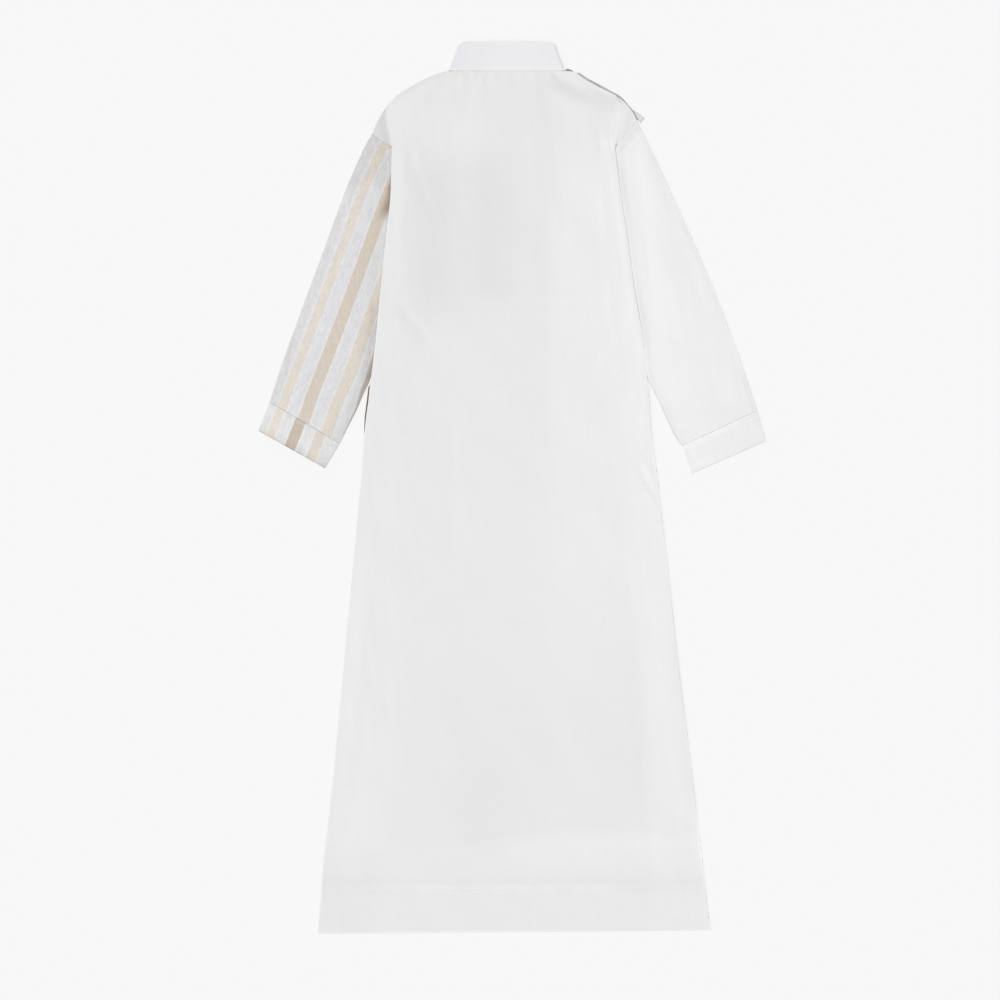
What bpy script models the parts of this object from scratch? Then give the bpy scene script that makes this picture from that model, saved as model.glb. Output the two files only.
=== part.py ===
"""A boy's thobe laid flat, built from the pieces that a maker would cut and sew.

Units are metres and +Z is up. The thobe lies on the plane Z = 0 with its front underneath and its
back uppermost, its collar toward +Y and the wearer's left toward -X. The tables are in millimetres
on that plane. Each piece is made where it lies, and neighbours share the line of their seam.
"""

import math

import bpy
import bmesh
from mathutils import Vector

MM = 0.001

# Walls of cloth. The body and sleeves are one thickness, the wrist bands and collar are doubled.
BODY_CLOTH = 1.1
SLEEVE_CLOTH = 1.0
CUFF_CLOTH = 1.4
COLLAR_CLOTH = 1.5
SEAM_GAP = 0.3

# Heights of the top of the back panel above the surface, away from its edges.
FLAT_HEIGHT = 2.7
CHEST_RISE = 1.7
CHEST_RISE_Y = (195.0, 240.0)
CHEST_RISE_X = (30.0, 70.0)
NECK_RISE = 1.2
NECK_RISE_Y = (425.0, 462.0)
HEM_RISE = 0.4
HEM_RISE_Y = (-478.0, -484.0)

# Hem line: its place on the plane, how much its right end lies above its left, and how far up the
# skirt that slope is felt.
HEM_Y = -535.0
HEM_SLOPE = 4.8
HEM_SLOPE_TOP_Y = -150.0
HEM_HALF_WIDTH = 236.0

# Collar: half its width at the neck seam and at the top edge, its depth, and its drop at the front.
CENTRE_X = -6.6
COLLAR_BASE_Y = 500.0
COLLAR_HALF_BASE = 69.6
COLLAR_HALF_TOP = 58.2
COLLAR_DEPTH = 36.4
COLLAR_CORNER = 5.0
COLLAR_CORNER_SHARE = 0.8
COLLAR_HEIGHT = 5.5
COLLAR_ROWS = (1.0, 0.86, 0.5, 0.0)
FRONT_NECK_DROP = 36.0
FRONT_NECK_GAP = 0.4

# Columns round the collar, as shares of its flat half width, below and above.
UNDER_SHARES = (0.25, 0.5, 0.75, 1.0)
OVER_SHARES = (0.9, 0.7, 0.4, 0.15)

# Slit of the front and the strip behind it.
SLIT_WIDTH = 1.0
SLIT_END_Y = 234.0
PLACKET_WIDTH = 32.0
PLACKET_CLOTH = 1.0
PLACKET_TOP_Y = 462.0
PLACKET_END_Y = 224.0

# Tubes of the sleeves and wrist bands: height of the folded edges, and rise of the middle.
SLEEVE_HEIGHT = 2.6
SLEEVE_SWELL = 1.2
CUFF_HEIGHT = 3.6
CUFF_SWELL = 0.9
SLEEVE_RINGS = 13
CUFF_RINGS = 4
CUFF_SEAM_GAP = 0.7

# Down a sleeve, as shares of its length: where the curve of the armhole dies out, where its swell
# is full, and where it comes clear of the body. Across it, how much of it is free to swell.
BOW_FADE = 0.4
SWELL_FULL = 0.3
COVER_END = 0.5
HEAD_SHOWN = 0.02
WRIST_SHOWN = 0.92

# How a side of the back panel rolls over, from its crest out to its edge and on to its end.
ROLL_SHARE = 0.35
MOST_ROLL = 1.6
STEP_REACH = 3.5
TURN_REACH = 8.0

# Distance in and share of the way down to the flat: one measured from the edge, two from the
# innermost point of the roll. The last is the bend of the cloth that is folded under.
EDGE_SETTLE = (9.0, 0.15)
INNER_SETTLE = ((15.0, 0.35), (36.0, 0.85))
UNDER_BEND = (0.55, 0.35)

# One row for each section across the back, from neck to hem. On each side: the edge that shows,
# the end of the cloth (inside the edge where it folds under, outside where the sleeve head shows),
# the height of the crest beside the edge, and the height of the end.
BACK_SECTIONS = (
    # y, (left edge, end, crest, end height), (right edge, end, crest, end height)
    (499.2, (-79.0, -79.0, 4.6, 0.3), (67.0, 67.0, 5.2, 1.5)),
    (496.0, (-90.0, -90.0, 4.3, 0.3), (71.5, 71.5, 5.2, 1.5)),
    (491.5, (-102.0, -102.0, 4.1, 0.3), (81.5, 81.5, 5.2, 1.5)),
    (484.0, (-116.5, -116.5, 4.1, 0.3), (93.5, 93.5, 5.2, 1.5)),
    (477.0, (-128.5, -128.5, 4.1, 0.3), (109.0, 109.0, 5.2, 1.6)),
    (470.0, (-139.0, -139.0, 4.1, 0.3), (124.0, 124.0, 5.2, 1.9)),
    (462.5, (-146.5, -146.5, 4.1, 1.4), (131.0, 134.5, 5.0, 2.6)),
    (455.5, (-152.0, -152.5, 4.3, 1.8), (134.0, 140.0, 5.2, 2.6)),
    (448.0, (-151.0, -157.0, 4.8, 2.6), (134.5, 145.0, 5.6, 2.6)),
    (440.0, (-149.0, -161.5, 5.4, 2.6), (133.5, 149.0, 6.0, 2.6)),
    (432.5, (-147.0, -165.0, 5.9, 2.6), (131.0, 143.6, 6.4, 2.6)),
    (424.0, (-145.0, -168.0, 6.4, 2.6), (128.0, 137.0, 6.7, 2.6)),
    (417.0, (-144.5, -157.0, 6.7, 2.6), (125.5, 131.0, 6.9, 2.6)),
    (412.5, (-144.2, -150.1, 6.9, 2.6), (124.7, 127.4, 7.0, 2.7)),
    (408.5, (-144.0, -144.0, 7.0, 2.9), (124.0, 124.0, 7.0, 2.9)),
    (398.0, (-144.0, -138.5, 7.0, 2.9), (125.0, 119.0, 7.0, 2.9)),
    (381.0, (-144.0, -131.5, 7.0, 2.9), (126.0, 114.0, 7.0, 2.9)),
    (345.0, (-144.0, -126.0, 7.0, 2.9), (129.5, 110.5, 7.0, 2.9)),
    (309.0, (-147.0, -127.0, 7.0, 2.9), (134.0, 113.5, 7.0, 2.9)),
    (273.0, (-151.0, -128.5, 7.0, 2.9), (139.0, 116.5, 7.0, 2.9)),
    (243.0, (-155.0, -132.0, 7.0, 2.9), (143.5, 119.5, 7.0, 2.9)),
    (225.0, (-157.0, -134.5, 7.0, 2.9), (146.0, 121.0, 7.0, 2.9)),
    (203.5, (-160.0, -133.0, 6.8, 2.4), (149.5, 119.5, 6.8, 2.5)),
    (182.0, (-162.5, -139.0, 6.6, 1.4), (153.0, 127.0, 6.6, 2.0)),
    (162.5, (-165.0, -147.5, 6.4, 1.4), (156.0, 136.5, 6.4, 1.9)),
    (143.5, (-167.5, -157.0, 6.0, 1.4), (158.5, 147.5, 6.0, 1.8)),
    (124.0, (-170.0, -167.0, 5.4, 1.4), (162.0, 158.0, 5.4, 1.5)),
    (105.0, (-175.0, -175.0, 5.0, 1.4), (164.5, 164.5, 5.0, 1.4)),
    (81.0, (-179.0, -179.0, 4.8, 1.4), (166.5, 166.5, 4.8, 0.9)),
    (57.0, (-179.8, -179.8, 4.8, 1.4), (169.5, 169.5, 4.3, 0.3)),
    (39.0, (-180.4, -180.4, 4.8, 1.4), (171.8, 171.8, 4.1, 0.3)),
    (21.0, (-181.8, -181.8, 4.2, 0.3), (174.2, 174.2, 4.1, 0.3)),
    (-87.0, (-192.0, -192.0, 4.1, 0.3), (187.0, 187.0, 4.1, 0.3)),
    (-207.0, (-203.0, -203.0, 4.1, 0.3), (200.2, 200.2, 4.1, 0.3)),
    (-339.0, (-215.5, -215.5, 4.1, 0.3), (216.5, 216.5, 4.1, 0.3)),
    (-478.0, (-230.0, -230.0, 4.1, 0.3), (232.3, 232.3, 4.1, 0.3)),
    (-484.0, (-230.5, -230.5, 4.2, 0.3), (233.0, 233.0, 4.2, 0.3)),
    (HEM_Y, (-235.0, -235.0, 4.2, 0.3), (238.5, 238.5, 4.2, 0.3)),
)
SHEET_COLUMNS = 7

# Armhole seams from the shoulder to the underarm, x and y, shared by back, front and sleeve.
LEFT_ARMHOLE = (
    (-168.0, 424.0), (-157.0, 417.0), (-144.0, 408.5), (-133.0, 387.0),
    (-126.0, 345.0), (-128.5, 273.0), (-132.0, 243.0), (-134.5, 225.0),
)
RIGHT_ARMHOLE = (
    (150.0, 440.0), (137.0, 424.0), (124.0, 408.5), (115.0, 387.0),
    (110.5, 345.0), (116.5, 273.0), (119.5, 243.0), (121.0, 225.0),
)

# Edges of each sleeve down to the wrist band, and the far corners of the band, x and y.
LEFT_OUTER = ((-168.0, 424.0), (-180.0, 405.0), (-188.5, 391.0), (-204.5, 345.0),
              (-230.5, 273.0), (-258.0, 201.0), (-283.0, 129.0), (-291.5, 103.0))
LEFT_INNER = ((-134.5, 225.0), (-149.0, 189.0), (-167.0, 149.5), (-176.5, 117.0),
              (-185.0, 93.0), (-198.0, 69.0), (-206.5, 53.0))
LEFT_WRIST = ((-305.4, 68.0), (-224.5, 22.5))
RIGHT_OUTER = ((150.0, 440.0), (157.5, 425.5), (167.0, 405.0), (176.0, 388.0), (195.5, 345.0),
               (228.0, 273.0), (257.0, 201.0), (283.0, 129.0), (295.0, 92.0))
RIGHT_INNER = ((121.0, 225.0), (141.5, 177.0), (163.0, 129.0), (175.0, 105.0),
               (186.0, 81.0), (198.0, 57.0), (203.5, 50.0))
RIGHT_WRIST = ((305.4, 55.5), (216.0, 16.0))

# Front panel where it parts from the line of the back: side seams below the underarm, x and y, and
# the right shoulder, where its edge and the corner at the sleeve stand out past the back. That
# corner stops short of the sleeve's own.
FRONT_INSET = 1.8
LEFT_SIDE_SEAM = ((-138.0, 201.0), (-147.5, 171.0), (-159.5, 143.5), (-170.5, 121.5),
                  (-178.8, 90.5), (-181.3, 57.0), (-178.9, 40.0))
RIGHT_SIDE_SEAM = ((125.0, 201.0), (135.5, 171.0), (148.5, 146.0), (159.0, 127.0), (163.0, 105.0))
RIGHT_SHOULDER = ((63.6, 498.8), (65.0, 501.5), (73.0, 500.3), (79.0, 497.5), (96.0, 489.5),
                  (110.5, 482.0), (125.0, 473.0), (135.5, 464.0), (143.0, 455.0), (149.5, 451.5),
                  (155.5, 447.5), (158.5, 442.5), (154.5, 436.9), (151.0, 440.6), (149.0, 439.75))
LEFT_SKIRT_TOP_Y = 30.0
RIGHT_SKIRT_TOP_Y = 90.0
LEFT_SHOULDER_Y = 430.0

# Colour, roughness.
WHITE_CLOTH = ((0.84, 0.84, 0.84, 1.0), 0.85)
COLLAR_WHITE = ((0.83, 0.83, 0.86, 1.0), 0.8)
STRIPED_CLOTH = ((0.77, 0.75, 0.73, 1.0), 0.9)


def clear_scene():
    for item in list(bpy.data.objects):
        bpy.data.objects.remove(item, do_unlink=True)


def cloth_material(name, look):
    colour, roughness = look
    material = bpy.data.materials.new(name)
    material.use_nodes = True
    shader = material.node_tree.nodes["Principled BSDF"]
    shader.inputs["Base Color"].default_value = colour
    shader.inputs["Roughness"].default_value = roughness
    shader.inputs["Metallic"].default_value = 0.0
    return material


def blend(start, stop, share):
    return start + (stop - start) * share


def ease(value, start, stop):
    """Zero at start, one at stop, level at both."""
    share = min(max((value - start) / (stop - start), 0.0), 1.0)
    return share * share * (3.0 - 2.0 * share)


def lengths(points):
    """Distance along a line of points, from nothing to its whole length."""
    total = [0.0]
    for near, far in zip(points, points[1:]):
        total.append(total[-1] + math.dist(near, far))
    return total


def point_at(points, share):
    """The point this share of the way along a line of points."""
    total = lengths(points)
    goal = share * total[-1]
    for near, far, start, stop in zip(points, points[1:], total, total[1:]):
        if goal <= stop:
            return Vector(near).lerp(Vector(far), (goal - start) / (stop - start))
    return Vector(points[-1])


def lowered_hem(x, y):
    """The hem line runs slightly uphill to the right, and the slope dies out up the skirt."""
    slope = HEM_SLOPE / 2.0 * x / HEM_HALF_WIDTH
    return y + slope * ease(y, HEM_SLOPE_TOP_Y, HEM_Y)


def loft(rows, closed):
    """Open surface through rows of points in millimetres; closed joins the two ends of a row."""
    form = bmesh.new()
    grid = [[form.verts.new(Vector(point) * MM) for point in row] for row in rows]
    for near, far in zip(grid, grid[1:]):
        for i in range(len(near) if closed else len(near) - 1):
            j = (i + 1) % len(near)
            form.faces.new((near[i], far[i], far[j], near[j]))
    return form


def finish(form, name, look, collection, wall=None):
    """Turn a form into a named object; a wall gives an open surface its thickness, inward."""
    mesh = bpy.data.meshes.new(name)
    form.to_mesh(mesh)
    form.free()
    piece = bpy.data.objects.new(name, mesh)
    collection.objects.link(piece)
    piece.data.materials.append(cloth_material(name + "_cloth", look))
    mesh.shade_smooth()
    mesh.set_sharp_from_angle(angle=math.radians(40.0))
    if wall:
        solidify = piece.modifiers.new("wall", "SOLIDIFY")
        solidify.thickness = wall * MM
        solidify.offset = -1.0
        solidify.use_even_offset = True
        solidify.use_quality_normals = True
    return piece


def sheet_height(x, y):
    """Top of the back where it lies flat: higher over the placket, the collar and the hem."""
    over_placket = ease(y, *CHEST_RISE_Y) * (1.0 - ease(abs(x - CENTRE_X), *CHEST_RISE_X))
    over_collar = ease(y, *NECK_RISE_Y)
    hem = HEM_RISE * ease(y, *HEM_RISE_Y)
    return FLAT_HEIGHT + max(CHEST_RISE * over_placket, NECK_RISE * over_collar) + hem


def rolled_side(inward, edge, end, crest, end_height, y):
    """Points of one side of a section, from the end of the cloth, round its edge, to the flat."""
    turn = min(max(inward * (end - edge) / TURN_REACH, -1.0), 1.0)
    roll = min(ROLL_SHARE * (crest - end_height), MOST_ROLL)
    reach = blend(roll, STEP_REACH, max(-turn, 0.0))
    foot = crest - 2.0 * roll
    corner = 1.0 - math.sqrt(0.5)
    foot_x = edge + inward * turn * reach
    bend_across, bend_down = UNDER_BEND
    points = [
        (end, end_height),
        (blend(foot_x, end, bend_across), blend(foot, end_height, bend_down)),
        (foot_x, foot),
        (edge + inward * turn * reach * corner, crest - roll * (2.0 - corner)),
        (edge, crest - roll),
        (edge + inward * reach * corner, crest - roll * corner),
        (edge + inward * reach, crest),
    ]
    innermost = inward * max(inward * edge, inward * end)
    flat = sheet_height(innermost, y)
    settle_in, settle_down = EDGE_SETTLE
    points.append((edge + inward * settle_in, blend(crest, flat, settle_down)))
    for settle_in, settle_down in INNER_SETTLE:
        points.append((innermost + inward * settle_in, blend(crest, flat, settle_down)))
    return points


def back_panel(collection):
    """The back, one width, its sides folded under over the sleeve heads and rolled below them."""
    rows = []
    for y, left, right in BACK_SECTIONS:
        left_side = rolled_side(1.0, *left, y)
        right_side = rolled_side(-1.0, *right, y)
        start, stop = left_side[-1][0], right_side[-1][0]
        sheet = [blend(start, stop, (i + 1) / (SHEET_COLUMNS + 1)) for i in range(SHEET_COLUMNS)]
        section = left_side + [(x, sheet_height(x, y)) for x in sheet] + right_side[::-1]
        rows.append([(x, lowered_hem(x, y), z) for x, z in section])
    return finish(loft(rows, closed=False), "back_panel", WHITE_CLOTH, collection, BODY_CLOTH)


def neck_seam_y(x):
    """Lower edge of the front half of the collar, which dips to the throat."""
    share = min(abs(x - CENTRE_X) / COLLAR_HALF_BASE, 1.0)
    return COLLAR_BASE_Y - FRONT_NECK_DROP * (1.0 - share * share)


def collar_columns():
    """Round the collar from one front end to the other: across, height, and front or back."""
    half_height = COLLAR_HEIGHT / 2.0
    flat = COLLAR_HALF_BASE - half_height
    under = [SLIT_WIDTH / 2.0] + [flat * share for share in UNDER_SHARES]
    over = [flat * share for share in OVER_SHARES]
    fold = [(flat + half_height * math.cos(angle), half_height * (1.0 - math.sin(angle)))
            for angle in (math.radians(45.0), 0.0, math.radians(-45.0))]
    right = [(x, 0.0, True) for x in under]
    right += [(x, z, z < half_height) for x, z in fold]
    right += [(flat, COLLAR_HEIGHT, False)]
    right += [(x, COLLAR_HEIGHT, False) for x in over]
    left = [(-x, z, front) for x, z, front in reversed(right)]
    return left[::-1], right[::-1]


def collar(collection):
    """A stand collar, pressed flat: its back half above, its front half dipping below."""
    left, right = collar_columns()
    columns = left + right
    rows = []
    corner_start = COLLAR_CORNER_SHARE * COLLAR_HALF_BASE
    for share in COLLAR_ROWS:
        narrowing = blend(COLLAR_HALF_BASE, COLLAR_HALF_TOP, share) / COLLAR_HALF_BASE
        row = []
        for across, z, front in columns:
            x = CENTRE_X + across * narrowing
            base = neck_seam_y(CENTRE_X + across) if front else COLLAR_BASE_Y
            corner = COLLAR_CORNER * ease(abs(across), corner_start, COLLAR_HALF_BASE)
            row.append((x, base + share * (COLLAR_DEPTH - corner), z))
        rows.append(row)
    return finish(loft(rows, closed=False), "collar", COLLAR_WHITE, collection, COLLAR_CLOTH)


def inset(points, distance):
    """A line of points moved to the right of its direction by a distance."""
    moved = []
    for i, (x, y) in enumerate(points):
        before = Vector(points[max(i - 1, 0)])
        after = Vector(points[min(i + 1, len(points) - 1)])
        along = (after - before).normalized()
        moved.append((x + along.y * distance, y - along.x * distance))
    return moved


def front_outline():
    """Outline of the front, clockwise from the left of the hem, with the slit from the neck."""
    left_edge = [(left[0], lowered_hem(left[0], y)) for y, left, _ in reversed(BACK_SECTIONS)]
    right_edge = [(right[0], lowered_hem(right[0], y)) for y, _, right in BACK_SECTIONS]
    left_ends = [(left[1], y) for y, left, _ in reversed(BACK_SECTIONS)]
    left_skirt = [p for p in inset(left_edge, FRONT_INSET) if p[1] < LEFT_SKIRT_TOP_Y]
    right_skirt = [p for p in inset(right_edge, FRONT_INSET) if p[1] < RIGHT_SKIRT_TOP_Y]
    left_shoulder = [p for p in inset(left_ends, FRONT_INSET) if p[1] > LEFT_SHOULDER_Y]
    half_slit = SLIT_WIDTH / 2.0
    flat = COLLAR_HALF_BASE - COLLAR_HEIGHT / 2.0
    spread = [half_slit] + [flat * share for share in UNDER_SHARES]
    right_neck = [(CENTRE_X + x, neck_seam_y(CENTRE_X + x) - FRONT_NECK_GAP) for x in spread]
    left_neck = [(2.0 * CENTRE_X - x, y) for x, y in reversed(right_neck)]
    slit = [(CENTRE_X - half_slit, SLIT_END_Y), (CENTRE_X + half_slit, SLIT_END_Y)]
    outline = left_skirt + list(reversed(LEFT_SIDE_SEAM)) + list(reversed(LEFT_ARMHOLE))
    outline += left_shoulder + left_neck + slit + right_neck + list(RIGHT_SHOULDER)
    outline += list(RIGHT_ARMHOLE[1:]) + list(RIGHT_SIDE_SEAM) + right_skirt
    return outline


def front_panel(collection):
    """The front, one flat width with its slit, cut as a flat outline."""
    curve = bpy.data.curves.new("front_panel", "CURVE")
    curve.dimensions = "2D"
    curve.fill_mode = "BOTH"
    curve.extrude = BODY_CLOTH / 2.0 * MM
    outline = front_outline()
    spline = curve.splines.new("POLY")
    spline.points.add(len(outline) - 1)
    for point, (x, y) in zip(spline.points, outline):
        point.co = (x * MM, y * MM, 0.0, 1.0)
    spline.use_cyclic_u = True
    piece = bpy.data.objects.new("front_panel", curve)
    piece.location.z = BODY_CLOTH / 2.0 * MM
    collection.objects.link(piece)
    curve.materials.append(cloth_material("front_panel_cloth", STRIPED_CLOTH))
    return piece


def front_placket(collection):
    """The strip behind the slit, lying on the inside of the front."""
    form = bmesh.new()
    bmesh.ops.create_cube(form, size=1.0)
    length = PLACKET_TOP_Y - PLACKET_END_Y
    bmesh.ops.scale(form, vec=Vector((PLACKET_WIDTH, length, PLACKET_CLOTH)) * MM, verts=form.verts)
    centre = Vector((CENTRE_X, PLACKET_END_Y + length / 2.0,
                     BODY_CLOTH + SEAM_GAP + PLACKET_CLOTH / 2.0))
    bmesh.ops.translate(form, vec=centre * MM, verts=form.verts)
    return finish(form, "front_placket", WHITE_CLOTH, collection)


def tube_ring(line, height, rise):
    """A flattened ring over a line of points: folded at both ends, flat below, swelled above."""
    half = height / 2.0
    first = (line[1] - line[0]).normalized() * half
    last = (line[-2] - line[-1]).normalized() * half
    middle = list(zip(line[1:-1], rise[1:-1]))
    ring = [(*line[0], half), (*(line[0] + first), height)]
    ring += [(*point, height + swell) for point, swell in middle]
    ring += [(*(line[-1] + last), height), (*line[-1], half), (*(line[-1] + last), 0.0)]
    ring += [(*point, 0.0) for point, swell in reversed(middle)]
    ring += [(*(line[0] + first), 0.0)]
    return ring


def sleeve(name, look, armhole, outer, inner, side, collection):
    """A sleeve from its armhole to the wrist band, a tube pressed flat under the body's fold."""
    seam = [Vector(p) for p in inset(armhole, -side * SEAM_GAP)]
    total = lengths(armhole)
    shares = [length / total[-1] for length in total]
    chord = [Vector(armhole[0]).lerp(Vector(armhole[-1]), share) for share in shares]
    bow = [point - straight for point, straight in zip(seam, chord)]
    rings = []
    for i in range(SLEEVE_RINGS):
        down = i / (SLEEVE_RINGS - 1)
        start, stop = point_at(outer, down), point_at(inner, down)
        fade = max(1.0 - down / BOW_FADE, 0.0) ** 2
        line = [start.lerp(stop, share) + offset * fade for share, offset in zip(shares, bow)]
        shown = blend(HEAD_SHOWN, WRIST_SHOWN, min(down / COVER_END, 1.0))
        swell = SLEEVE_SWELL * ease(down, 0.0, SWELL_FULL)
        rise = [swell * math.sin(math.pi * min(share / shown, 1.0)) for share in shares]
        ring = tube_ring(line, SLEEVE_HEIGHT, rise)
        rings.append(ring if side < 0 else ring[::-1])
    return finish(loft(rings, closed=True), name, look, collection, SLEEVE_CLOTH)


def cuff(name, look, armhole, outer, inner, wrist, side, collection):
    """A wrist band, a short doubled tube beyond the end of the sleeve."""
    total = lengths(armhole)
    shares = [length / total[-1] for length in total]
    start, stop = Vector(outer[-1]), Vector(inner[-1])
    end_start, end_stop = Vector(wrist[0]), Vector(wrist[1])
    gap = CUFF_SEAM_GAP / (end_start - start).length
    rings = []
    for i in range(CUFF_RINGS):
        down = blend(gap, 1.0, i / (CUFF_RINGS - 1))
        near, far = start.lerp(end_start, down), stop.lerp(end_stop, down)
        line = [near.lerp(far, share) for share in shares]
        rise = [CUFF_SWELL * math.sin(math.pi * share) for share in shares]
        ring = tube_ring(line, CUFF_HEIGHT, rise)
        rings.append(ring if side < 0 else ring[::-1])
    return finish(loft(rings, closed=True), name, look, collection, CUFF_CLOTH)


def main():
    clear_scene()
    thobe = bpy.data.collections.new("thobe")
    bpy.context.scene.collection.children.link(thobe)
    front_panel(thobe)
    front_placket(thobe)
    back_panel(thobe)
    collar(thobe)
    sleeve("sleeve_left", STRIPED_CLOTH, LEFT_ARMHOLE, LEFT_OUTER, LEFT_INNER, -1.0, thobe)
    sleeve("sleeve_right", WHITE_CLOTH, RIGHT_ARMHOLE, RIGHT_OUTER, RIGHT_INNER, 1.0, thobe)
    cuff("cuff_left", STRIPED_CLOTH, LEFT_ARMHOLE, LEFT_OUTER, LEFT_INNER, LEFT_WRIST, -1.0, thobe)
    cuff("cuff_right", WHITE_CLOTH, RIGHT_ARMHOLE, RIGHT_OUTER, RIGHT_INNER, RIGHT_WRIST, 1.0,
         thobe)


main()
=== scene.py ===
# %% [markdown]
# # A boy's thobe, laid flat
# This thobe lies on its front with its back uppermost, pressed flat on a pale surface. It is a
# wide white back, a narrow stand collar, one plain sleeve and one striped sleeve, each with a wrist
# band. The front is of the striped cloth too, and shows only in slivers at a shoulder and a side.
# The first cell loads the fixed frame that every piece has to fit.

# %% Load the frame
import math

import bpy
import bmesh
import numpy as np
from mathutils import Matrix, Vector
from mathutils.bvhtree import BVHTree


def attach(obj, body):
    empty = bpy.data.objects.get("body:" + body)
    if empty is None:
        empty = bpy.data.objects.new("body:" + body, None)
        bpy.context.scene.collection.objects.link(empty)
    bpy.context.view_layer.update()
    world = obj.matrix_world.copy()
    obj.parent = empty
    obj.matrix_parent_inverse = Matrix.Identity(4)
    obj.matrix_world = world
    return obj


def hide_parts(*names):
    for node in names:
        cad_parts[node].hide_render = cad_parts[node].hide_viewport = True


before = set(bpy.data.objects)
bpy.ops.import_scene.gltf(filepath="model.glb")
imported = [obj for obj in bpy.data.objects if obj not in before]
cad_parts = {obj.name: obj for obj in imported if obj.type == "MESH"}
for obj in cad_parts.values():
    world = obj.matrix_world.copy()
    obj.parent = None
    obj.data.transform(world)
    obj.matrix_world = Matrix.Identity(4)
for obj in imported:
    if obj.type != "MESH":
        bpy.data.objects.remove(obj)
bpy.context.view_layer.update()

MM = 0.001


def blend(start, stop, share):
    """Part of the way from one value to another."""
    return start + (stop - start) * share


def join(*coordinates):
    """Points from their coordinates."""
    return np.stack(np.broadcast_arrays(*coordinates), axis=-1)


# %% [markdown]
# ## The table, the camera and the light
# A flat lay is shot from straight above with a long lens, so that nothing leans. One broad soft
# lamp gives the folds a lit side, and pale light from all round keeps their other side open, which
# is how white cloth keeps its detail. A sun with a wide angle is the simplest such lamp: it is as
# strong at the hem as it is at the collar.

# %% Camera
VIEW_WIDTH = 1.2
VIEW_CENTRE = (-0.0144, -0.015)
LENS = 200
SENSOR = 36

camera = bpy.data.objects.new("camera", bpy.data.cameras.new("camera"))
camera.data.lens = LENS
camera.data.sensor_width = SENSOR
camera.location = (*VIEW_CENTRE, VIEW_WIDTH * LENS / SENSOR)
bpy.context.scene.collection.objects.link(camera)
bpy.context.scene.camera = camera
print("camera height in metres", round(camera.location.z, 3))

# %% Light
SKY_STRENGTH = 0.56
LAMP_STRENGTH = 1.95
LAMP_ANGLE = math.radians(58)
LAMP_TILT = (math.radians(13), math.radians(-32), 0)

world = bpy.data.worlds.new("studio")
world.use_nodes = True
sky = world.node_tree.nodes["Background"].inputs
sky["Color"].default_value = (1, 1, 1, 1)
sky["Strength"].default_value = SKY_STRENGTH
bpy.context.scene.world = world
bpy.context.scene.view_settings.view_transform = "Standard"
lamp = bpy.data.objects.new("lamp", bpy.data.lights.new("lamp", "SUN"))
lamp.data.energy = LAMP_STRENGTH
lamp.data.angle = LAMP_ANGLE
lamp.rotation_euler = LAMP_TILT
bpy.context.scene.collection.objects.link(lamp)
print("lamp points", [round(v, 2) for v in lamp.rotation_euler.to_matrix() @ Vector((0, 0, -1))])

# %% [markdown]
# ## Shader sums
# A pattern in cloth is arithmetic: a stripe is where a distance is small, a weave is one wave times
# another. A small class wraps a socket, so that such sums can be written as Python and turn into
# Math nodes, and one method adds every other node.

# %% A number that varies over the cloth
def sum_with(operation, swapped=False):
    """A method that puts two values, or a value and a number, into a Math node."""
    def method(self, other):
        return self.finish.math(operation, *((other, self) if swapped else (self, other)))

    return method


class Value:
    """One socket of a finish. Sums with it add Math nodes to that finish."""

    __add__ = __radd__ = sum_with("ADD")
    __sub__ = sum_with("SUBTRACT")
    __rsub__ = sum_with("SUBTRACT", swapped=True)
    __mul__ = __rmul__ = sum_with("MULTIPLY")
    __mod__ = sum_with("FLOORED_MODULO")

    def __init__(self, finish, socket):
        self.finish = finish
        self.socket = socket

    def __abs__(self):
        return self.finish.math("ABSOLUTE", self)

    def wave(self):
        """The sine of this value, taken as radians."""
        return self.finish.math("SINE", self)

    def soft_step(self, start, stop):
        """Nothing up to start, one from stop on, and smooth between; start may be the larger."""
        node = self.finish.add("ShaderNodeMapRange", {"interpolation_type": "SMOOTHSTEP"}, {
            "Value": self, "From Min": start, "From Max": stop})
        return Value(self.finish, node.outputs["Result"])

# %% A finish and its nodes
SPECULAR = 0.25


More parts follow.
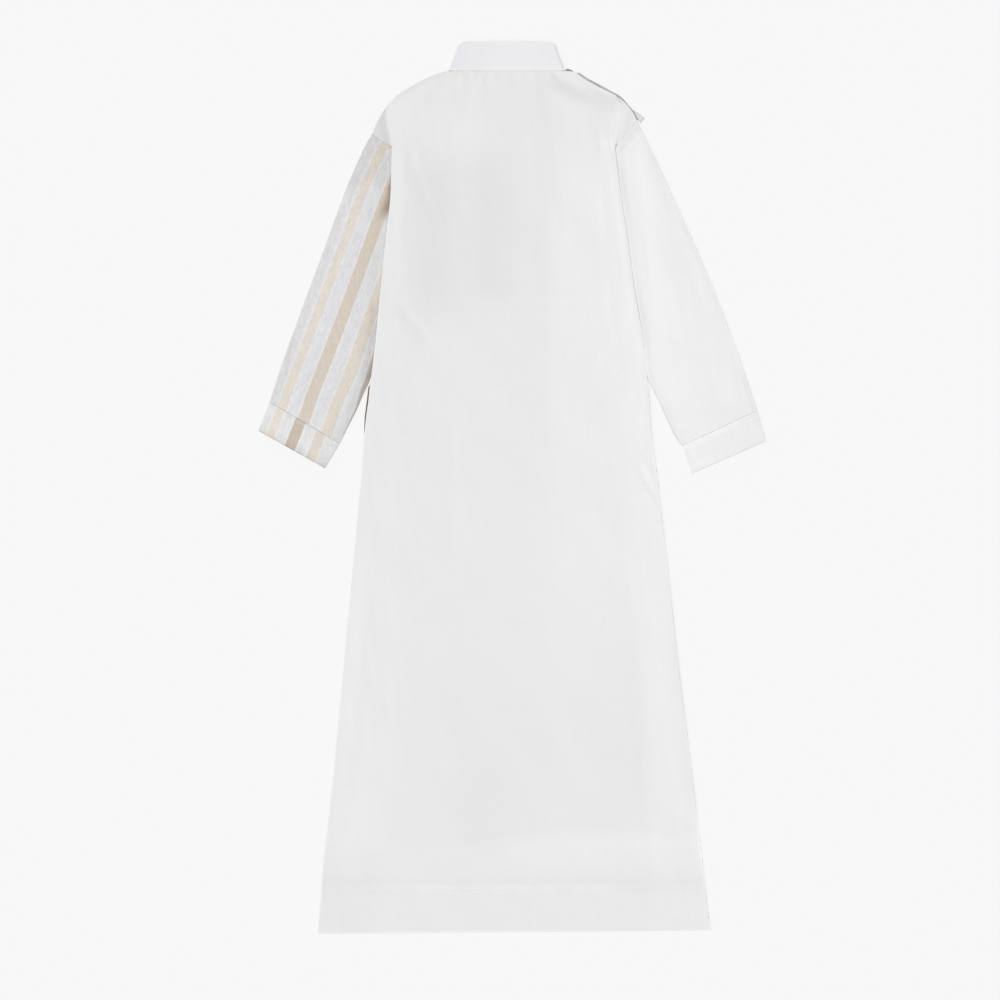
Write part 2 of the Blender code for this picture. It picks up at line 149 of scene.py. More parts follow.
class Finish:
    """A material being put together round one Principled shader."""

    def __init__(self, name, roughness, sheen):
        self.material = bpy.data.materials.new(name)
        self.material.use_nodes = True
        self.tree = self.material.node_tree
        self.shader = self.tree.nodes["Principled BSDF"]
        self.shader.inputs["Roughness"].default_value = roughness
        self.shader.inputs["Sheen Weight"].default_value = sheen
        self.shader.inputs["Specular IOR Level"].default_value = SPECULAR

    def add(self, kind, settings, inputs):
        """Add a node: its type, its settings, then the values or links of its sockets."""
        node = self.tree.nodes.new(kind)
        for setting, choice in settings.items():
            setattr(node, setting, choice)
        for name, value in inputs.items():
            self.feed(node.inputs[name], value)
        return node

    def feed(self, socket, value):
        """Link a socket to a value, or set it to a constant."""
        source = value.socket if isinstance(value, Value) else value
        if isinstance(source, bpy.types.NodeSocket):
            self.tree.links.new(source, socket)
        else:
            socket.default_value = source

    def math(self, operation, *terms):
        """The result of a Math node."""
        node = self.add("ShaderNodeMath", {"operation": operation}, dict(enumerate(terms)))
        return Value(self, node.outputs[0])

    def mark(self, name):
        """A number painted on the piece's points."""
        node = self.add("ShaderNodeAttribute", {"attribute_name": name}, {})
        return Value(self, node.outputs["Fac"])

    def split(self, place):
        """The first two numbers of a place, in metres."""
        parts = self.add("ShaderNodeSeparateXYZ", {}, {0: place})
        return Value(self, parts.outputs["X"]), Value(self, parts.outputs["Y"])

    def cloth_place(self):
        """Where a point lies on the cut cloth, across and along."""
        return self.split(self.add("ShaderNodeUVMap", {"uv_map": "cloth"}, {}).outputs["UV"])

    def object_place(self):
        """Where a point lies on the table, across and along."""
        return self.split(self.add("ShaderNodeTexCoord", {}, {}).outputs["Object"])

    def noise(self, across, along, detail=2):
        """Irregular patches, from nothing to one, at a place that is already scaled."""
        place = self.add("ShaderNodeCombineXYZ", {}, {"X": across, "Y": along})
        node = self.add("ShaderNodeTexNoise", {"noise_dimensions": "2D"}, {
            "Vector": place.outputs[0], "Scale": 1, "Detail": detail})
        return Value(self, node.outputs["Fac"])

    def mix(self, share, first, second):
        """One colour where share is nothing, the other where it is one."""
        node = self.add("ShaderNodeMix", {"data_type": "RGBA"}, {
            "Factor": share, 6: first, 7: second})
        return node.outputs[2]

    def dim(self, colour, strength):
        """A colour times a number."""
        node = self.add("ShaderNodeVectorMath", {"operation": "SCALE"}, {
            0: colour, "Scale": strength})
        return node.outputs["Vector"]

    def finish(self, colour, height, depth):
        """Join up the colour and the relief, whose depth is in metres."""
        bump = self.add("ShaderNodeBump", {}, {
            "Strength": 1, "Distance": depth, "Height": height})
        self.feed(self.shader.inputs["Base Color"], colour)
        self.feed(self.shader.inputs["Normal"], bump.outputs["Normal"])
        print("finish", self.material.name, len(self.tree.nodes), "nodes")
        return self.material

# %% The dye a cloth needs
TABLE_BRIGHTNESS = 1.08


def dye(red, green, blue):
    """The dye that gives cloth this look, out of 255, under the light of this table."""
    channels = [value / 255 for value in (red, green, blue)]
    linear = [((v + 0.055) / 1.055) ** 2.4 / TABLE_BRIGHTNESS for v in channels]
    return (*linear, 1)


print("dye of the white cloth", [round(v, 3) for v in dye(232, 232, 232)])

# %% [markdown]
# ## The white cloth
# The back, the plain sleeve and its wrist band are a light plain weave of polyester and cotton.
# Warp and weft cross every half millimetre, some threads are a little thicker than others, and
# pressing leaves the faintest mottling. The cloth is thin, so a doubled layer beneath it shows as
# a slightly darker place. Shade is painted beside folds and along some edges, and light is painted
# along other edges and seams, where a rolled edge would show as a dark line: that tone is painted
# on the points of a piece and read here.

# %% White and collar finishes
THREAD_PITCH = 0.0005
SLUB_WIDTH = 0.0016
SLUB_LENGTH = 0.03
MOTTLE = 0.045
MOTTLE_TONE = 0.012
WEAVE_DEPTH = 0.0003
WEAVE_SHARE = 0.08


def crossing(across, along):
    """Warp and weft: one wave across the cloth times another along it."""
    turn = 2 * math.pi / THREAD_PITCH
    return (across * turn).wave() * (along * turn).wave()


def plain_weave(name, colour, shaded, slub, sheen):
    """A plain weave in one colour, darkened where a piece is painted with shade."""
    cloth = Finish(name, roughness=0.86, sheen=sheen)
    across, along = cloth.cloth_place()
    warp = cloth.noise(across * (1 / SLUB_WIDTH), along * (1 / SLUB_LENGTH))
    weft = cloth.noise(across * (1 / SLUB_LENGTH), along * (1 / SLUB_WIDTH))
    patches = cloth.noise(across * (1 / MOTTLE), along * (1 / MOTTLE), detail=4)
    light = 1 + (warp + weft - 1) * slub + (patches - 0.5) * MOTTLE_TONE
    # Painted shade and painted light: the colour runs from the palest dye, painted light, to the
    # shaded dye, painted shade.
    shade_painted = cloth.mix(cloth.mark("shade"), colour, shaded)
    relief = crossing(across, along) * WEAVE_SHARE + (warp + weft) * 0.25 + patches * 0.8
    return cloth.finish(cloth.dim(shade_painted, light), relief, depth=WEAVE_DEPTH)


# The usual shade of the plain white cloth, from its palest dye to its darkest; less is painted
# light and more is painted shade.
PLAIN_TONE = 0.30
white_cloth = plain_weave(
    "white_cloth", dye(250, 250, 250), dye(202, 202, 203), slub=0.02, sheen=0.04)
collar_cloth = plain_weave(
    "collar_cloth", dye(246, 246, 247), dye(214, 215, 223), slub=0.015, sheen=0.05)

# %% [markdown]
# ## The striped cloth
# The left sleeve, its wrist band and the front are a heathered cloth: grey and white fibres are
# spun together, so its ground is softly streaked along the warp. Cream and tan stripes take turns,
# about 30 mm from one to the next, and each is edged with a pale pinline. A short table holds one
# repeat, and distances on the cut cloth place it, so the stripes follow a sleeve round its folds.

# %% Striped finish
REPEAT = 0.120
# One repeat of the stripes, in metres: the middle of a stripe, half its width, its share of tan.
STRIPES = ((0.0198, 0.0056, 0), (0.0494, 0.0072, 1), (0.0800, 0.0068, 0.2), (0.1100, 0.0072, 1))
STRIPE_BLUR = 0.0006
PINLINE = 0.0011
STREAK_WIDTH = 0.0011
STREAK_LENGTH = 0.007
PATCH_WIDTH = 1 / 150
PATCH_LENGTH = 1 / 60
STREAK_TONE = 0.34
PATCH_TONE = 0.18
PIN_TONE = 0.06


def striped_weave(name, ground, cream, tan, shaded):
    """Cream and tan stripes by turns on a heathered ground."""
    cloth = Finish(name, roughness=0.9, sheen=0.04)
    across, along = cloth.cloth_place()
    fine = cloth.noise(across * (1 / STREAK_WIDTH), along * (1 / STREAK_LENGTH), detail=3)
    broad = cloth.noise(across * (1 / PATCH_WIDTH), along * (1 / PATCH_LENGTH), detail=4)
    striped, pin, raised = ground, 0, 0
    for middle, half, tan_share in STRIPES:
        away = abs((across - middle + REPEAT / 2) % REPEAT - REPEAT / 2)
        inside = away.soft_step(half + STRIPE_BLUR, half - STRIPE_BLUR)
        beside = away.soft_step(half + PINLINE * 2, half + PINLINE)
        yarn = [blend(first, second, tan_share) for first, second in zip(cream, tan)]
        striped = cloth.mix(inside * (broad * 1.2 + 0.35), striped, yarn)
        pin = beside - inside + pin
        raised = inside + raised
    light = 1 + (fine - 0.5) * STREAK_TONE + (broad - 0.5) * PATCH_TONE + pin * PIN_TONE
    # Painted shade darkens the stripes towards the shaded dye.
    shade_painted = cloth.mix(cloth.mark("shade"), striped, shaded)
    relief = crossing(across, along) * WEAVE_SHARE + fine * 0.5 + raised * 0.2
    return cloth.finish(cloth.dim(shade_painted, light), relief, depth=WEAVE_DEPTH)


striped_cloth = striped_weave(
    "striped_cloth", dye(225, 225, 227), dye(227, 218, 208), dye(215, 203, 189), dye(128, 107, 86))
cuff_stripe = striped_weave(
    "cuff_stripe", dye(230, 230, 231), dye(233, 223, 213), dye(201, 188, 171), dye(118, 104, 92))

# %% [markdown]
# ## Thread
# Stitches are twisted polyester, a little brighter than the cloth and slightly shiny. Each stitch
# is a small bead, so its twist is only a fine slanting ripple.

# %% Thread finish
TWIST_PITCH = 0.0006
TWIST_TONE = 0.02
TWIST_DEPTH = 0.00005


def thread_finish(name, colour):
    """Twisted thread, with a fine slanting ripple."""
    thread = Finish(name, roughness=0.55, sheen=0.1)
    across, along = thread.object_place()
    ripple = ((across + along) * (2 * math.pi / TWIST_PITCH)).wave()
    return thread.finish(thread.dim(colour[:3], 1 + ripple * TWIST_TONE), ripple, TWIST_DEPTH)


white_thread = thread_finish("white_thread", dye(241, 241, 241))

# %% [markdown]
# ## Working on cloth as a grid
# Flat cloth has no top or bottom of its own, so the plainest start for any piece is a grid whose
# points are then carried to their places, like a sheet being laid by hand. The places are worked
# out with numpy, a row of the cloth at a time, and each point keeps its place on the cut cloth in a
# UV map, so weave and stripes follow it. Solidify gives the finished sheet its thickness.

# %% Curves and slopes
def ease(value, start, stop):
    """Nothing at start, one at stop, level at both; start may be the larger."""
    share = np.clip((value - start) / (stop - start), 0, 1)
    return share * share * (3 - 2 * share)


def soft_patches(*patches):
    """The sum of soft patches, each an amount and the eases that keep it to its place."""
    return sum(amount * math.prod(ease(*limit) for limit in limits)
               for amount, *limits in patches)


def hill(value, middle, width):
    """One at the middle, fading out over a width to both sides."""
    return np.exp(-((value - middle) / width) ** 2)


def hermite(first, second, leave, arrive, share):
    """A smooth step from one value to the next that leaves and arrives with given slopes."""
    square, cube = share * share, share * share * share
    return ((2 * cube - 3 * square + 1) * first + (cube - 2 * square + share) * leave
            + (3 * square - 2 * cube) * second + (cube - square) * arrive)


def smooth_at(marks, values, place):
    """The value at a place on a smooth line through values at rising marks."""
    slopes = np.gradient(values, marks)
    i = np.clip(np.searchsorted(marks, place) - 1, 0, len(marks) - 2)
    step = marks[i + 1] - marks[i]
    share = np.clip((place - marks[i]) / step, 0, 1)
    return hermite(values[i], values[i + 1], slopes[i] * step, slopes[i + 1] * step, share)


def curve_through(line, counts):
    """Points on a smooth curve through a line of points, so many steps from each to the next."""
    steps = np.linalg.norm(np.diff(line, axis=0), axis=1) + 1e-6
    gone = np.concatenate([[0], np.cumsum(steps)])
    place = [blend(near, far, i / count) for near, far, count in zip(gone, gone[1:], counts)
             for i in range(count)]
    return join(*(smooth_at(gone, way, np.array(place + [gone[-1]])) for way in line.T))


def marks_within(marks, step):
    """All the marks, with enough more between them that none is further than a step away."""
    found = [marks[0]]
    for near, far in zip(marks, marks[1:]):
        count = max(1, math.ceil(abs(far - near) / step))
        found += [blend(near, far, i / count) for i in range(1, count + 1)]
    return np.array(found)


def point_at(line, share, curved=False):
    """Points at these shares of a line of points, straight or on a smooth curve through them."""
    line = np.array(line)
    gone = np.concatenate([[0], np.cumsum(np.linalg.norm(np.diff(line, axis=0), axis=1))])
    place = np.asarray(share) * gone[-1]
    return join(*(smooth_at(gone, way, place) if curved else np.interp(place, gone, way)
                  for way in line.T))


def distance_from(line, x, y):
    """How far each point is from a line, its way along it and its side, and the line's length."""
    nearest, gone, side, length = np.full(x.shape, 1e9), 0, 0, 0
    for (ax, ay), (bx, by) in zip(line, line[1:]):
        step = math.hypot(bx - ax, by - ay)
        dx, dy = (bx - ax) / step, (by - ay) / step
        along = np.clip((x - ax) * dx + (y - ay) * dy, 0, step)
        off_x, off_y = x - ax - along * dx, y - ay - along * dy
        away = np.hypot(off_x, off_y)
        closer = away < nearest
        nearest = np.where(closer, away, nearest)
        gone = np.where(closer, length + along, gone)
        side = np.where(closer, np.sign(dx * off_y - dy * off_x), side)
        length += step
    return nearest, gone, side, length


print("ease halfway", float(ease(0.5, 0, 1)))

# %% A sheet of cloth from grids
WELD = 0.01


def as_piece(name, form, finish):
    """The finished form as an object at the origin."""
    mesh = bpy.data.meshes.new(name)
    form.to_mesh(mesh)
    form.free()
    mesh.materials.append(finish)
    mesh.shade_smooth()
    piece = bpy.data.objects.new(name, mesh)
    bpy.context.scene.collection.objects.link(piece)
    return piece


def lay_cloth(name, finish, *patches, wall, facing=1):
    """A sheet made of grids, carried to their places, in millimetres, and joined where they meet.

    A patch is its places, their places on the cut cloth, and its shade. The wall is how thick the
    cloth is. Facing is 1 where the outer side of the highest cloth looks up, -1 where down.
    """
    form = bmesh.new()
    cloth = form.loops.layers.uv.new("cloth")
    painted = form.verts.layers.float.new("shade")
    for places, flat, shade in patches:
        rows, columns = places.shape[:2]
        made = bmesh.ops.create_grid(
            form, x_segments=columns - 1, y_segments=rows - 1, size=0.5)["verts"]
        for vert in made:
            i = round((vert.co.y + 0.5) * (rows - 1))
            j = round((vert.co.x + 0.5) * (columns - 1))
            vert.co = Vector(places[i, j]) * MM
            vert[painted] = min(max(float(shade[i, j]), 0.0), 1.0)
            for loop in vert.link_loops:
                loop[cloth].uv = Vector(flat[i, j]) * MM
    bmesh.ops.remove_doubles(form, verts=form.verts, dist=WELD * MM)
    bmesh.ops.recalc_face_normals(form, faces=form.faces)
    highest = max(form.faces, key=lambda face: face.calc_center_median().z)
    if highest.normal.z * facing < 0:
        bmesh.ops.reverse_faces(form, faces=form.faces)
    piece = as_piece(name, form, finish)
    solid = piece.modifiers.new("wall", "SOLIDIFY")
    solid.thickness = wall * MM
    solid.offset = -1
    solid.use_quality_normals = True
    faces = piece.data.polygons
    area = sum(face.area for face in faces)
    print(name, len(faces), "faces,", round(area, 4), "square metres of cloth")
    return piece

# %% [markdown]
# ## Creases
# Even pressed cloth is never flat. A crease is a soft ridge or trough along a line, higher at its
# middle than at its ends and steeper on one side than on the other, and no two are alike. Each one
# here is given: its height, its width, how much steeper its left side is, and its line.
# Under them run a few long shallow waves, as cloth has from lying on its other layers.

# %% Ridges and troughs
FADE_IN = 0.35


def crease_height(x, y, creases):
    """The height of all the creases at each point, in millimetres; troughs are below nothing."""
    total = np.zeros(x.shape)
    for height, width, lean, *line in creases:
        away, gone, side, length = distance_from(line, x, y)
        share = gone / length
        fade = ease(share, 0, FADE_IN) * ease(share, 1, 1 - FADE_IN)
        total += height * fade * hill(away, 0, width * (1 - lean * 0.5 * (side + 1)))
    return total


# Long shallow waves: height, length from crest to crest, direction in degrees, where they start.
WAVES = ((0.30, 210, 12, 0.4), (0.22, 143, 74, 2.1), (0.16, 97, 128, 4),
         (0.10, 61, 38, 1.3), (0.05, 23, 95, 0.2), (0.04, 17, 8, 3.3))


def wave_height(x, y):
    """The height of all the waves at each point, in millimetres."""
    total = 0
    for height, length, direction, start in WAVES:
        heading = math.radians(direction)
        along = x * math.cos(heading) + y * math.sin(heading)
        total = total + height * np.sin(2 * math.pi * along / length + start)
    return total


print("waves reach", sum(row[0] for row in WAVES), "mm")

# %% [markdown]
# ## The back
# The back is one wide panel. Where it lies over the sleeve heads its sides are folded under, and
# the fold stands up in a soft roll beside each sleeve. Higher up the fold runs out and the cloth
# goes on over the shoulder to the armhole seam, and below the sleeves the sides roll over to the
# side seams. One table holds a section for each height, and a function turns it into a line.

# %% The sections of the back
# From neck to hem. After the height y, four numbers for the left side and the same for the right:
# the edge that shows, how far past it the cloth ends (inward where it folds under, outward where
# the sleeve head shows), the height of the crest beside the edge, and that of the end.
BACK_SECTIONS = (
    (503, -68, 0, 3.7, 2.9,  60, 0, 3.7, 2.9),
    (499.2, -78, 0, 4, 2.3,  71, 0, 4.1, 2.4),
    (496, -89, 0, 3.8, 0.5,  79, 0, 4, 1.6),
    (491.5, -101, 0, 3.6, 0.5,  85.6, 0, 3.9, 1.6),
    (484, -115.5, 0, 3.5, 0.5,  98, 0, 3.8, 1.6),
    (477, -127.5, 0, 3.4, 0.5,  111.6, 0, 3.8, 1.7),
    (470, -138, 0, 3.4, 0.5,  125, 0, 3.8, 1.9),
    (462.5, -145.5, 0, 3.4, 1.4,  130, 5.2, 3.8, 2.6),
    (455.5, -149.8, -1.7, 3.5, 1.8,  132.6, 8.8, 3.8, 2.6),
    (448, -150.8, -5.5, 3.7, 2.6,  133.2, 13.4, 3.8, 2.6),
    (440, -150.6, -10.2, 3.8, 2.6,  132.8, 17.6, 3.75, 2.6),
    (432.5, -149.2, -15.2, 3.9, 2.6,  131.2, 12.9, 3.7, 2.6),
    (424, -147.2, -20.2, 4.1, 2.6,  129.2, 8.2, 3.7, 2.6),
    (417, -145.4, -11.6, 4.3, 2.6,  126.6, 4.4, 3.65, 2.6),
    (412.5, -144.8, -5.3, 4.5, 2.6,  125.2, 2.2, 3.65, 2.7),
    (408.5, -144.5, 0, 4.7, 2.9,  124.2, 0, 3.65, 2.9),
    (398, -144.5, 6, 4.9, 2.9,  124.8, -5.8, 3.75, 2.9),
    (381, -144.8, 13.3, 5, 2.9,  127, -13, 3.75, 2.9),
    (345, -146.2, 20.2, 5, 2.9,  131.6, -21.1, 3.75, 2.9),
    (309, -150.2, 23.2, 5, 2.9,  137.6, -24.1, 3.75, 2.9),
    (273, -154.3, 25.8, 5, 2.9,  142.4, -25.9, 3.75, 2.9),
    (243, -157.2, 25.2, 5, 2.9,  146.4, -26.9, 3.75, 2.9),
    (225, -159, 24.5, 5, 2.9,  149.4, -28.4, 3.75, 2.9),
    (203.5, -161.2, 28.2, 5, 2.5,  153.2, -33.7, 3.75, 2.5),
    (182, -163, 24, 4.9, 1.8,  157.2, -30.2, 3.75, 2),
    (162.5, -165.2, 17.7, 4.8, 1.8,  159.8, -23.3, 3.75, 1.9),
    (143.5, -167.6, 10.6, 4.6, 1.6,  161.4, -13.9, 3.75, 1.8),
    (124, -170.2, 3.2, 4.4, 1.4,  163, -5, 3.7, 1.5),
    (105, -172.2, 0, 3.9, 1.4,  164.8, 0, 3.6, 1.4),
    (81, -175.4, 0, 3.4, 1.4,  166.2, 0, 3.4, 0.9),
    (57, -177.8, 0, 3, 1.2,  168.4, 0, 3, 0.5),
    (39, -179.5, 0, 2.8, 0.8,  170.8, 0, 2.8, 0.5),
    (21, -181.2, 0, 2.7, 0.5,  173.2, 0, 2.7, 0.5),
    (-87, -191.4, 0, 2.6, 0.5,  186, 0, 2.6, 0.5),
    (-207, -202.4, 0, 2.6, 0.5,  199.2, 0, 2.6, 0.5),
    (-339, -214.9, 0, 2.6, 0.5,  215.5, 0, 2.6, 0.5),
    (-478, -229.4, 0, 2.6, 0.5,  231.3, 0, 2.6, 0.5),
    (-484, -229.9, 0, 2.9, 0.5,  232, 0, 2.9, 0.5),
    (-533.6, -234.4, 0, 2.9, 0.5,  237.5, 0, 2.9, 0.5),
)
HEM_Y = BACK_SECTIONS[-1][0]
SIDES = ((1, 1), (2, -1))
CENTRE_X = -6.6
ROLL_SHARE = 0.35
MOST_ROLL = 1.6
ABOVE_SLEEVE = 2.95
STEP_REACH = 6
TURN_REACH = 8
SETTLE = 52
LAYER_CLEARANCE = 0.75
IN_COLLAR_Y = 499.5
IN_COLLAR = (-73, 60.4)
HEM_SEAM_Y = -483


def side_of_back(y, side):
    """Edge, end, crest and end height of the left side, 1, or the right side, 2, at heights y."""
    marks, *columns = np.array(BACK_SECTIONS[::-1]).T
    edge, past, crest, low = columns[4 * side - 4:4 * side]
    edge, crest = smooth_at(marks, edge, y), smooth_at(marks, crest, y)
    end, low = edge + np.interp(y, marks, past), np.interp(y, marks, low)
    edge, end = (np.where(y > IN_COLLAR_Y, np.clip(line, *IN_COLLAR), line) for line in (edge, end))
    return edge, end, crest, low


def roll_of(inward, edge, end, crest, low, y):
    """How far a side turns under, the radius of its roll, and how far in its crest lies."""
    turn = np.clip(inward * (end - edge) / TURN_REACH, -1, 1)
    on_sleeve = ease(y, 108, 126) * ease(turn, 0, 0.2)
    roll = np.minimum(ROLL_SHARE * (crest - low),
                      blend(MOST_ROLL, 0.5 * (crest - ABOVE_SLEEVE), on_sleeve))
    return turn, roll, blend(roll, STEP_REACH, np.maximum(-turn, 0))


print("sections", len(BACK_SECTIONS))

# %% [markdown]
# The creases of the back are placed one by one: short gathers where the neck is eased into the
# collar, soft folds that run from the collar to each shoulder, a level crease across the waist of
# the chest, drag lines from the underarms, and long folds down both sides of the skirt.

# %% The creases of the back
# height, width, how much steeper its left side is, then the points x and y of its line
BACK_CREASES = (
    (0.55, 3, 0.3, (-69, 499.5), (-70.5, 492), (-75, 484)),
    (0.7, 3, 0.2, (-56, 499.8), (-57.5, 491), (-60, 480)),
    (0.5, 2.6, 0, (-46.5, 499.8), (-47, 493), (-49.5, 485)),
    (0.65, 3, 0.4, (-35, 499.8), (-34.5, 491), (-36.5, 481)),
    (0.45, 2.6, 0.1, (-21.5, 499.8), (-21, 493.5), (-22, 486)),
    (0.3, 2.6, 0.2, (-6, 499.5), (-6, 494), (-8, 488)),
    (0.4, 2.8, 0.3, (9.5, 499.5), (10.5, 492), (10, 485)),
    (0.36, 2.6, 0, (26, 499), (27.5, 492), (30, 487)),
    (0.5, 3.2, 0.2, (44, 499), (49, 491), (56, 484)),
    (-0.45, 3.4, 0.4, (90, 481), (104, 476.5), (119, 469)),
    (-0.55, 7, 0.3, (-60, 490), (-76, 482), (-92, 470), (-104, 455)),
    (0.4, 6, 0.2, (-74, 492), (-94, 483), (-112, 471)),
    (-0.35, 8, 0.2, (-42, 484), (-52, 470), (-58, 452)),
    (-0.8, 9, 0.4, (38, 493), (62, 484.5), (88, 473), (112, 460)),
    (0.4, 6, 0.2, (64, 493), (86, 484), (106, 474)),
    (-0.45, 12, 0.3, (30, 482), (48, 466), (66, 446), (78, 420)),
    (0.3, 7, 0.4, (113, 446), (112, 425), (115, 400), (119, 372)),
    (0.22, 3.2, 0.5, (121, 434), (120, 420), (122, 405)),
    (0.35, 2.6, 0.2, (115, 428), (114.5, 414), (116, 402)),
    (-0.45, 4, 0.2, (107, 440), (105, 420), (109, 396)),
    (0.5, 8, 0.3, (-133, 420), (-131, 380), (-131, 330), (-136, 270)),
    (-0.55, 7, 0.3, (-124, 412), (-117, 386), (-106, 356), (-101, 330)),
    (-0.4, 5, 0.2, (-112, 226), (-70, 224), (-28, 219), (2, 212)),
    (0.4, 5, 0.2, (-16, 228), (24, 231), (62, 228), (98, 232)),
    (-0.35, 4.5, 0.1, (30, 222), (64, 219), (104, 223), (132, 219)),
    (0.7, 26, 0.2, (58, 362), (74, 310), (84, 256), (82, 190)),
    (-0.4, 15, 0.2, (22, 372), (34, 322), (44, 262), (40, 200)),
    (-0.5, 6, 0.4, (-151, 236), (-132, 216), (-108, 190), (-92, 158)),
    (0.35, 6, 0.1, (-150, 214), (-130, 192), (-112, 160)),
    (-0.5, 6, 0.4, (143, 206), (126, 184), (104, 160), (92, 128)),
    (0.4, 5, 0.2, (148, 184), (134, 160), (118, 138)),
    (-0.35, 12, 0.2, (-60, 150), (-72, 60), (-70, -40), (-84, -150)),
    (0.35, 16, 0.3, (30, 120), (44, 20), (40, -90), (58, -220)),
    (-0.62, 3.6, 0.5, (152, 20), (160, 10), (168, -1), (174, -12)),
    (0.55, 4, 0.2, (154, 34), (166, 20), (174.5, 6)),
    (0.35, 3, 0.2, (156, 2), (166, -10), (176, -24)),
    (0.9, 13, 0.2, (-168, -40), (-178, -160), (-191, -290), (-205, -430)),
    (-0.55, 16, 0.2, (-140, -90), (-147, -200), (-152, -320), (-158, -420)),
    (0.9, 14, 0.3, (176, -60), (189, -190), (203, -310), (214, -430)),
    (-0.55, 14, 0.2, (150, -120), (160, -230), (168, -330), (172, -412)),
    (-0.4, 20, 0.2, (10, -190), (34, -260), (66, -340), (104, -410)),
    (0.35, 18, 0.2, (-66, -210), (-76, -290), (-60, -370), (-70, -450)),
    (-0.45, 5, 0.3, (-88, -418), (-44, -414), (6, -408), (52, -404)),
    (0.35, 6, 0.2, (16, -416), (70, -412), (124, -413), (172, -409)),
    (0.3, 3.4, 0.2, (181, -52), (189.5, -55)),
    (0.3, 3, 0.1, (184, -96), (193, -101)),
    (0.26, 3.6, 0.3, (188, -148), (198, -151)),
    (0.28, 3.2, 0.1, (-201, -122), (-190, -118)),
    (0.24, 3.8, 0.2, (-208, -188), (-196, -186)),
    (0.3, 3.4, 0.3, (-219, -300), (-207, -296)),
    (0.28, 3.4, 0.2, (206, -262), (216, -266)),
    (0.3, 3.8, 0.2, (216, -372), (226, -374)),
)
RIPPLE = 0.10
SEAM_GROOVE = 0.05


def hem_ripple(x, y):
    """The hem stitching draws the cloth into small ripples of uneven size."""
    pull = 0.55 + 0.45 * np.sin(x / 31 + 1) * np.sin(x / 13)
    ripple = RIPPLE * np.sin(x * 0.37 + 0.8 * np.sin(x / 29))
    return hill(y, HEM_SEAM_Y, 6) * pull * ripple - SEAM_GROOVE * hill(y, HEM_SEAM_Y, 2)


print("creases", len(BACK_CREASES))

# %% [markdown]
# The height of the back above the surface is a sum: the flat cloth, which is a little higher over
# the front's placket, the collar and the turned hem, then the roll at each side, which settles
# inward over a few centimetres, then the creases and the waves. The fold on the right is softer:
# its cloth swells up a little way from its edge and slopes down to it.

# %% The height of the back
FLAT_CLOTH = 2.7
PLACKET_LIFT = 1.7
NECK_LIFT = 1.2
HEM_LIFT = 0.5
HEM_SLOPE = 2.4 / 236
SOFT_LEAST = 0.02
SWELL_REACH = 3.4
# The swell beside the right fold: heights y, and how far it stands up there.
FOLD_SWELL = ((60, 110, 190, 300, 375, 402, 430, 455), (0, 0.3, 0.5, 0.6, 0.55, 0.3, 0.4, 0))


def flat_height(x, y):
    """The height of the cloth before any crease: higher over the strip, the collar and the hem."""
    over_placket = ease(y, 195, 240) * ease(np.abs(x - CENTRE_X), 70, 30)
    lift = np.maximum(PLACKET_LIFT * over_placket, NECK_LIFT * ease(y, 425, 462))
    return FLAT_CLOTH + lift + HEM_LIFT * ease(y, -478, -486)


def back_height(x, y):
    """The top of the back at points that lie between its two crests."""
    base = flat_height(x, y)
    height = base.copy()
    folds = []
    for side, inward in SIDES:
        edge, end, crest, low = side_of_back(y, side)
        tucked = np.maximum(inward * (end - edge), 0)
        from_edge = inward * (x - edge)
        folds.append((tucked, from_edge, low))
        from_crest = from_edge - roll_of(inward, edge, end, crest, low, y)[2]
        height += (crest - base) * ease(from_crest, tucked + SETTLE, 0)
        if side == 2:
            rise = np.sin(0.5 * math.pi * np.clip(from_crest / SWELL_REACH, 0, 1))
            fall = ease(from_crest, 4 * SWELL_REACH, SWELL_REACH)
            height += np.interp(y, *FOLD_SWELL) * rise * fall
    relief = crease_height(x, y, BACK_CREASES) + wave_height(x, y) + hem_ripple(x, y)
    height += relief * ease(y, 500.5, 497.5)
    for tucked, from_edge, low in folds:
        over = ease(tucked, 0, 4) * ease(from_edge, tucked + 30, tucked)
        least = (low + LAYER_CLEARANCE) * over
        height = 0.5 * (height + least + np.sqrt((height - least) ** 2 + SOFT_LEAST))
    return height


def hem_line(x, y):
    """The hem runs slightly uphill to the right, and that slope dies out up the skirt."""
    return y + HEM_SLOPE * x * ease(y, -150, HEM_Y)


# %% [markdown]
# A roll is drawn through eight points: the end of the cloth, the bend under the fold, its foot, the
# round of the edge and the crest. Between the crests the columns stand closer at the sides, where
# the cloth turns most. The hem is a real fold: past its edge the rows turn back underneath.

# %% The back, laid
SIDE_STEPS = (4, 3, 1, 2, 2, 2, 2)
TOP_COLUMNS = 124
CROWDING = 0.55
ROW_STEP = 4
LIP = 0.7
TURN_UP = (5, 19)
TURN_INSET = 0.006
SIDE_SLANT = 0.0005


def side_line(inward, y, edge, end, crest, low):
    """The side of the back from the end of the cloth round its edge to the crest, row by row."""
    turn, roll, reach = roll_of(inward, edge, end, crest, low, y)
    foot = crest - 2 * roll
    foot_x = edge + inward * turn * reach
    corner = 1 - math.sqrt(0.5)
    controls = (
        (end, low),
        (blend(foot_x, end, 0.55), blend(foot, low, 0.1)),
        (blend(foot_x, end, 0.06), foot),
        (foot_x, foot),
        (edge + inward * turn * reach * corner, crest - roll * (2 - corner)),
        (edge, crest - roll),
        (edge + inward * reach * corner, crest - roll * corner),
        (edge + inward * reach, crest),
    )
    points = np.stack([join(*pair) for pair in controls], axis=1)
    return np.stack([curve_through(row, SIDE_STEPS) for row in points])


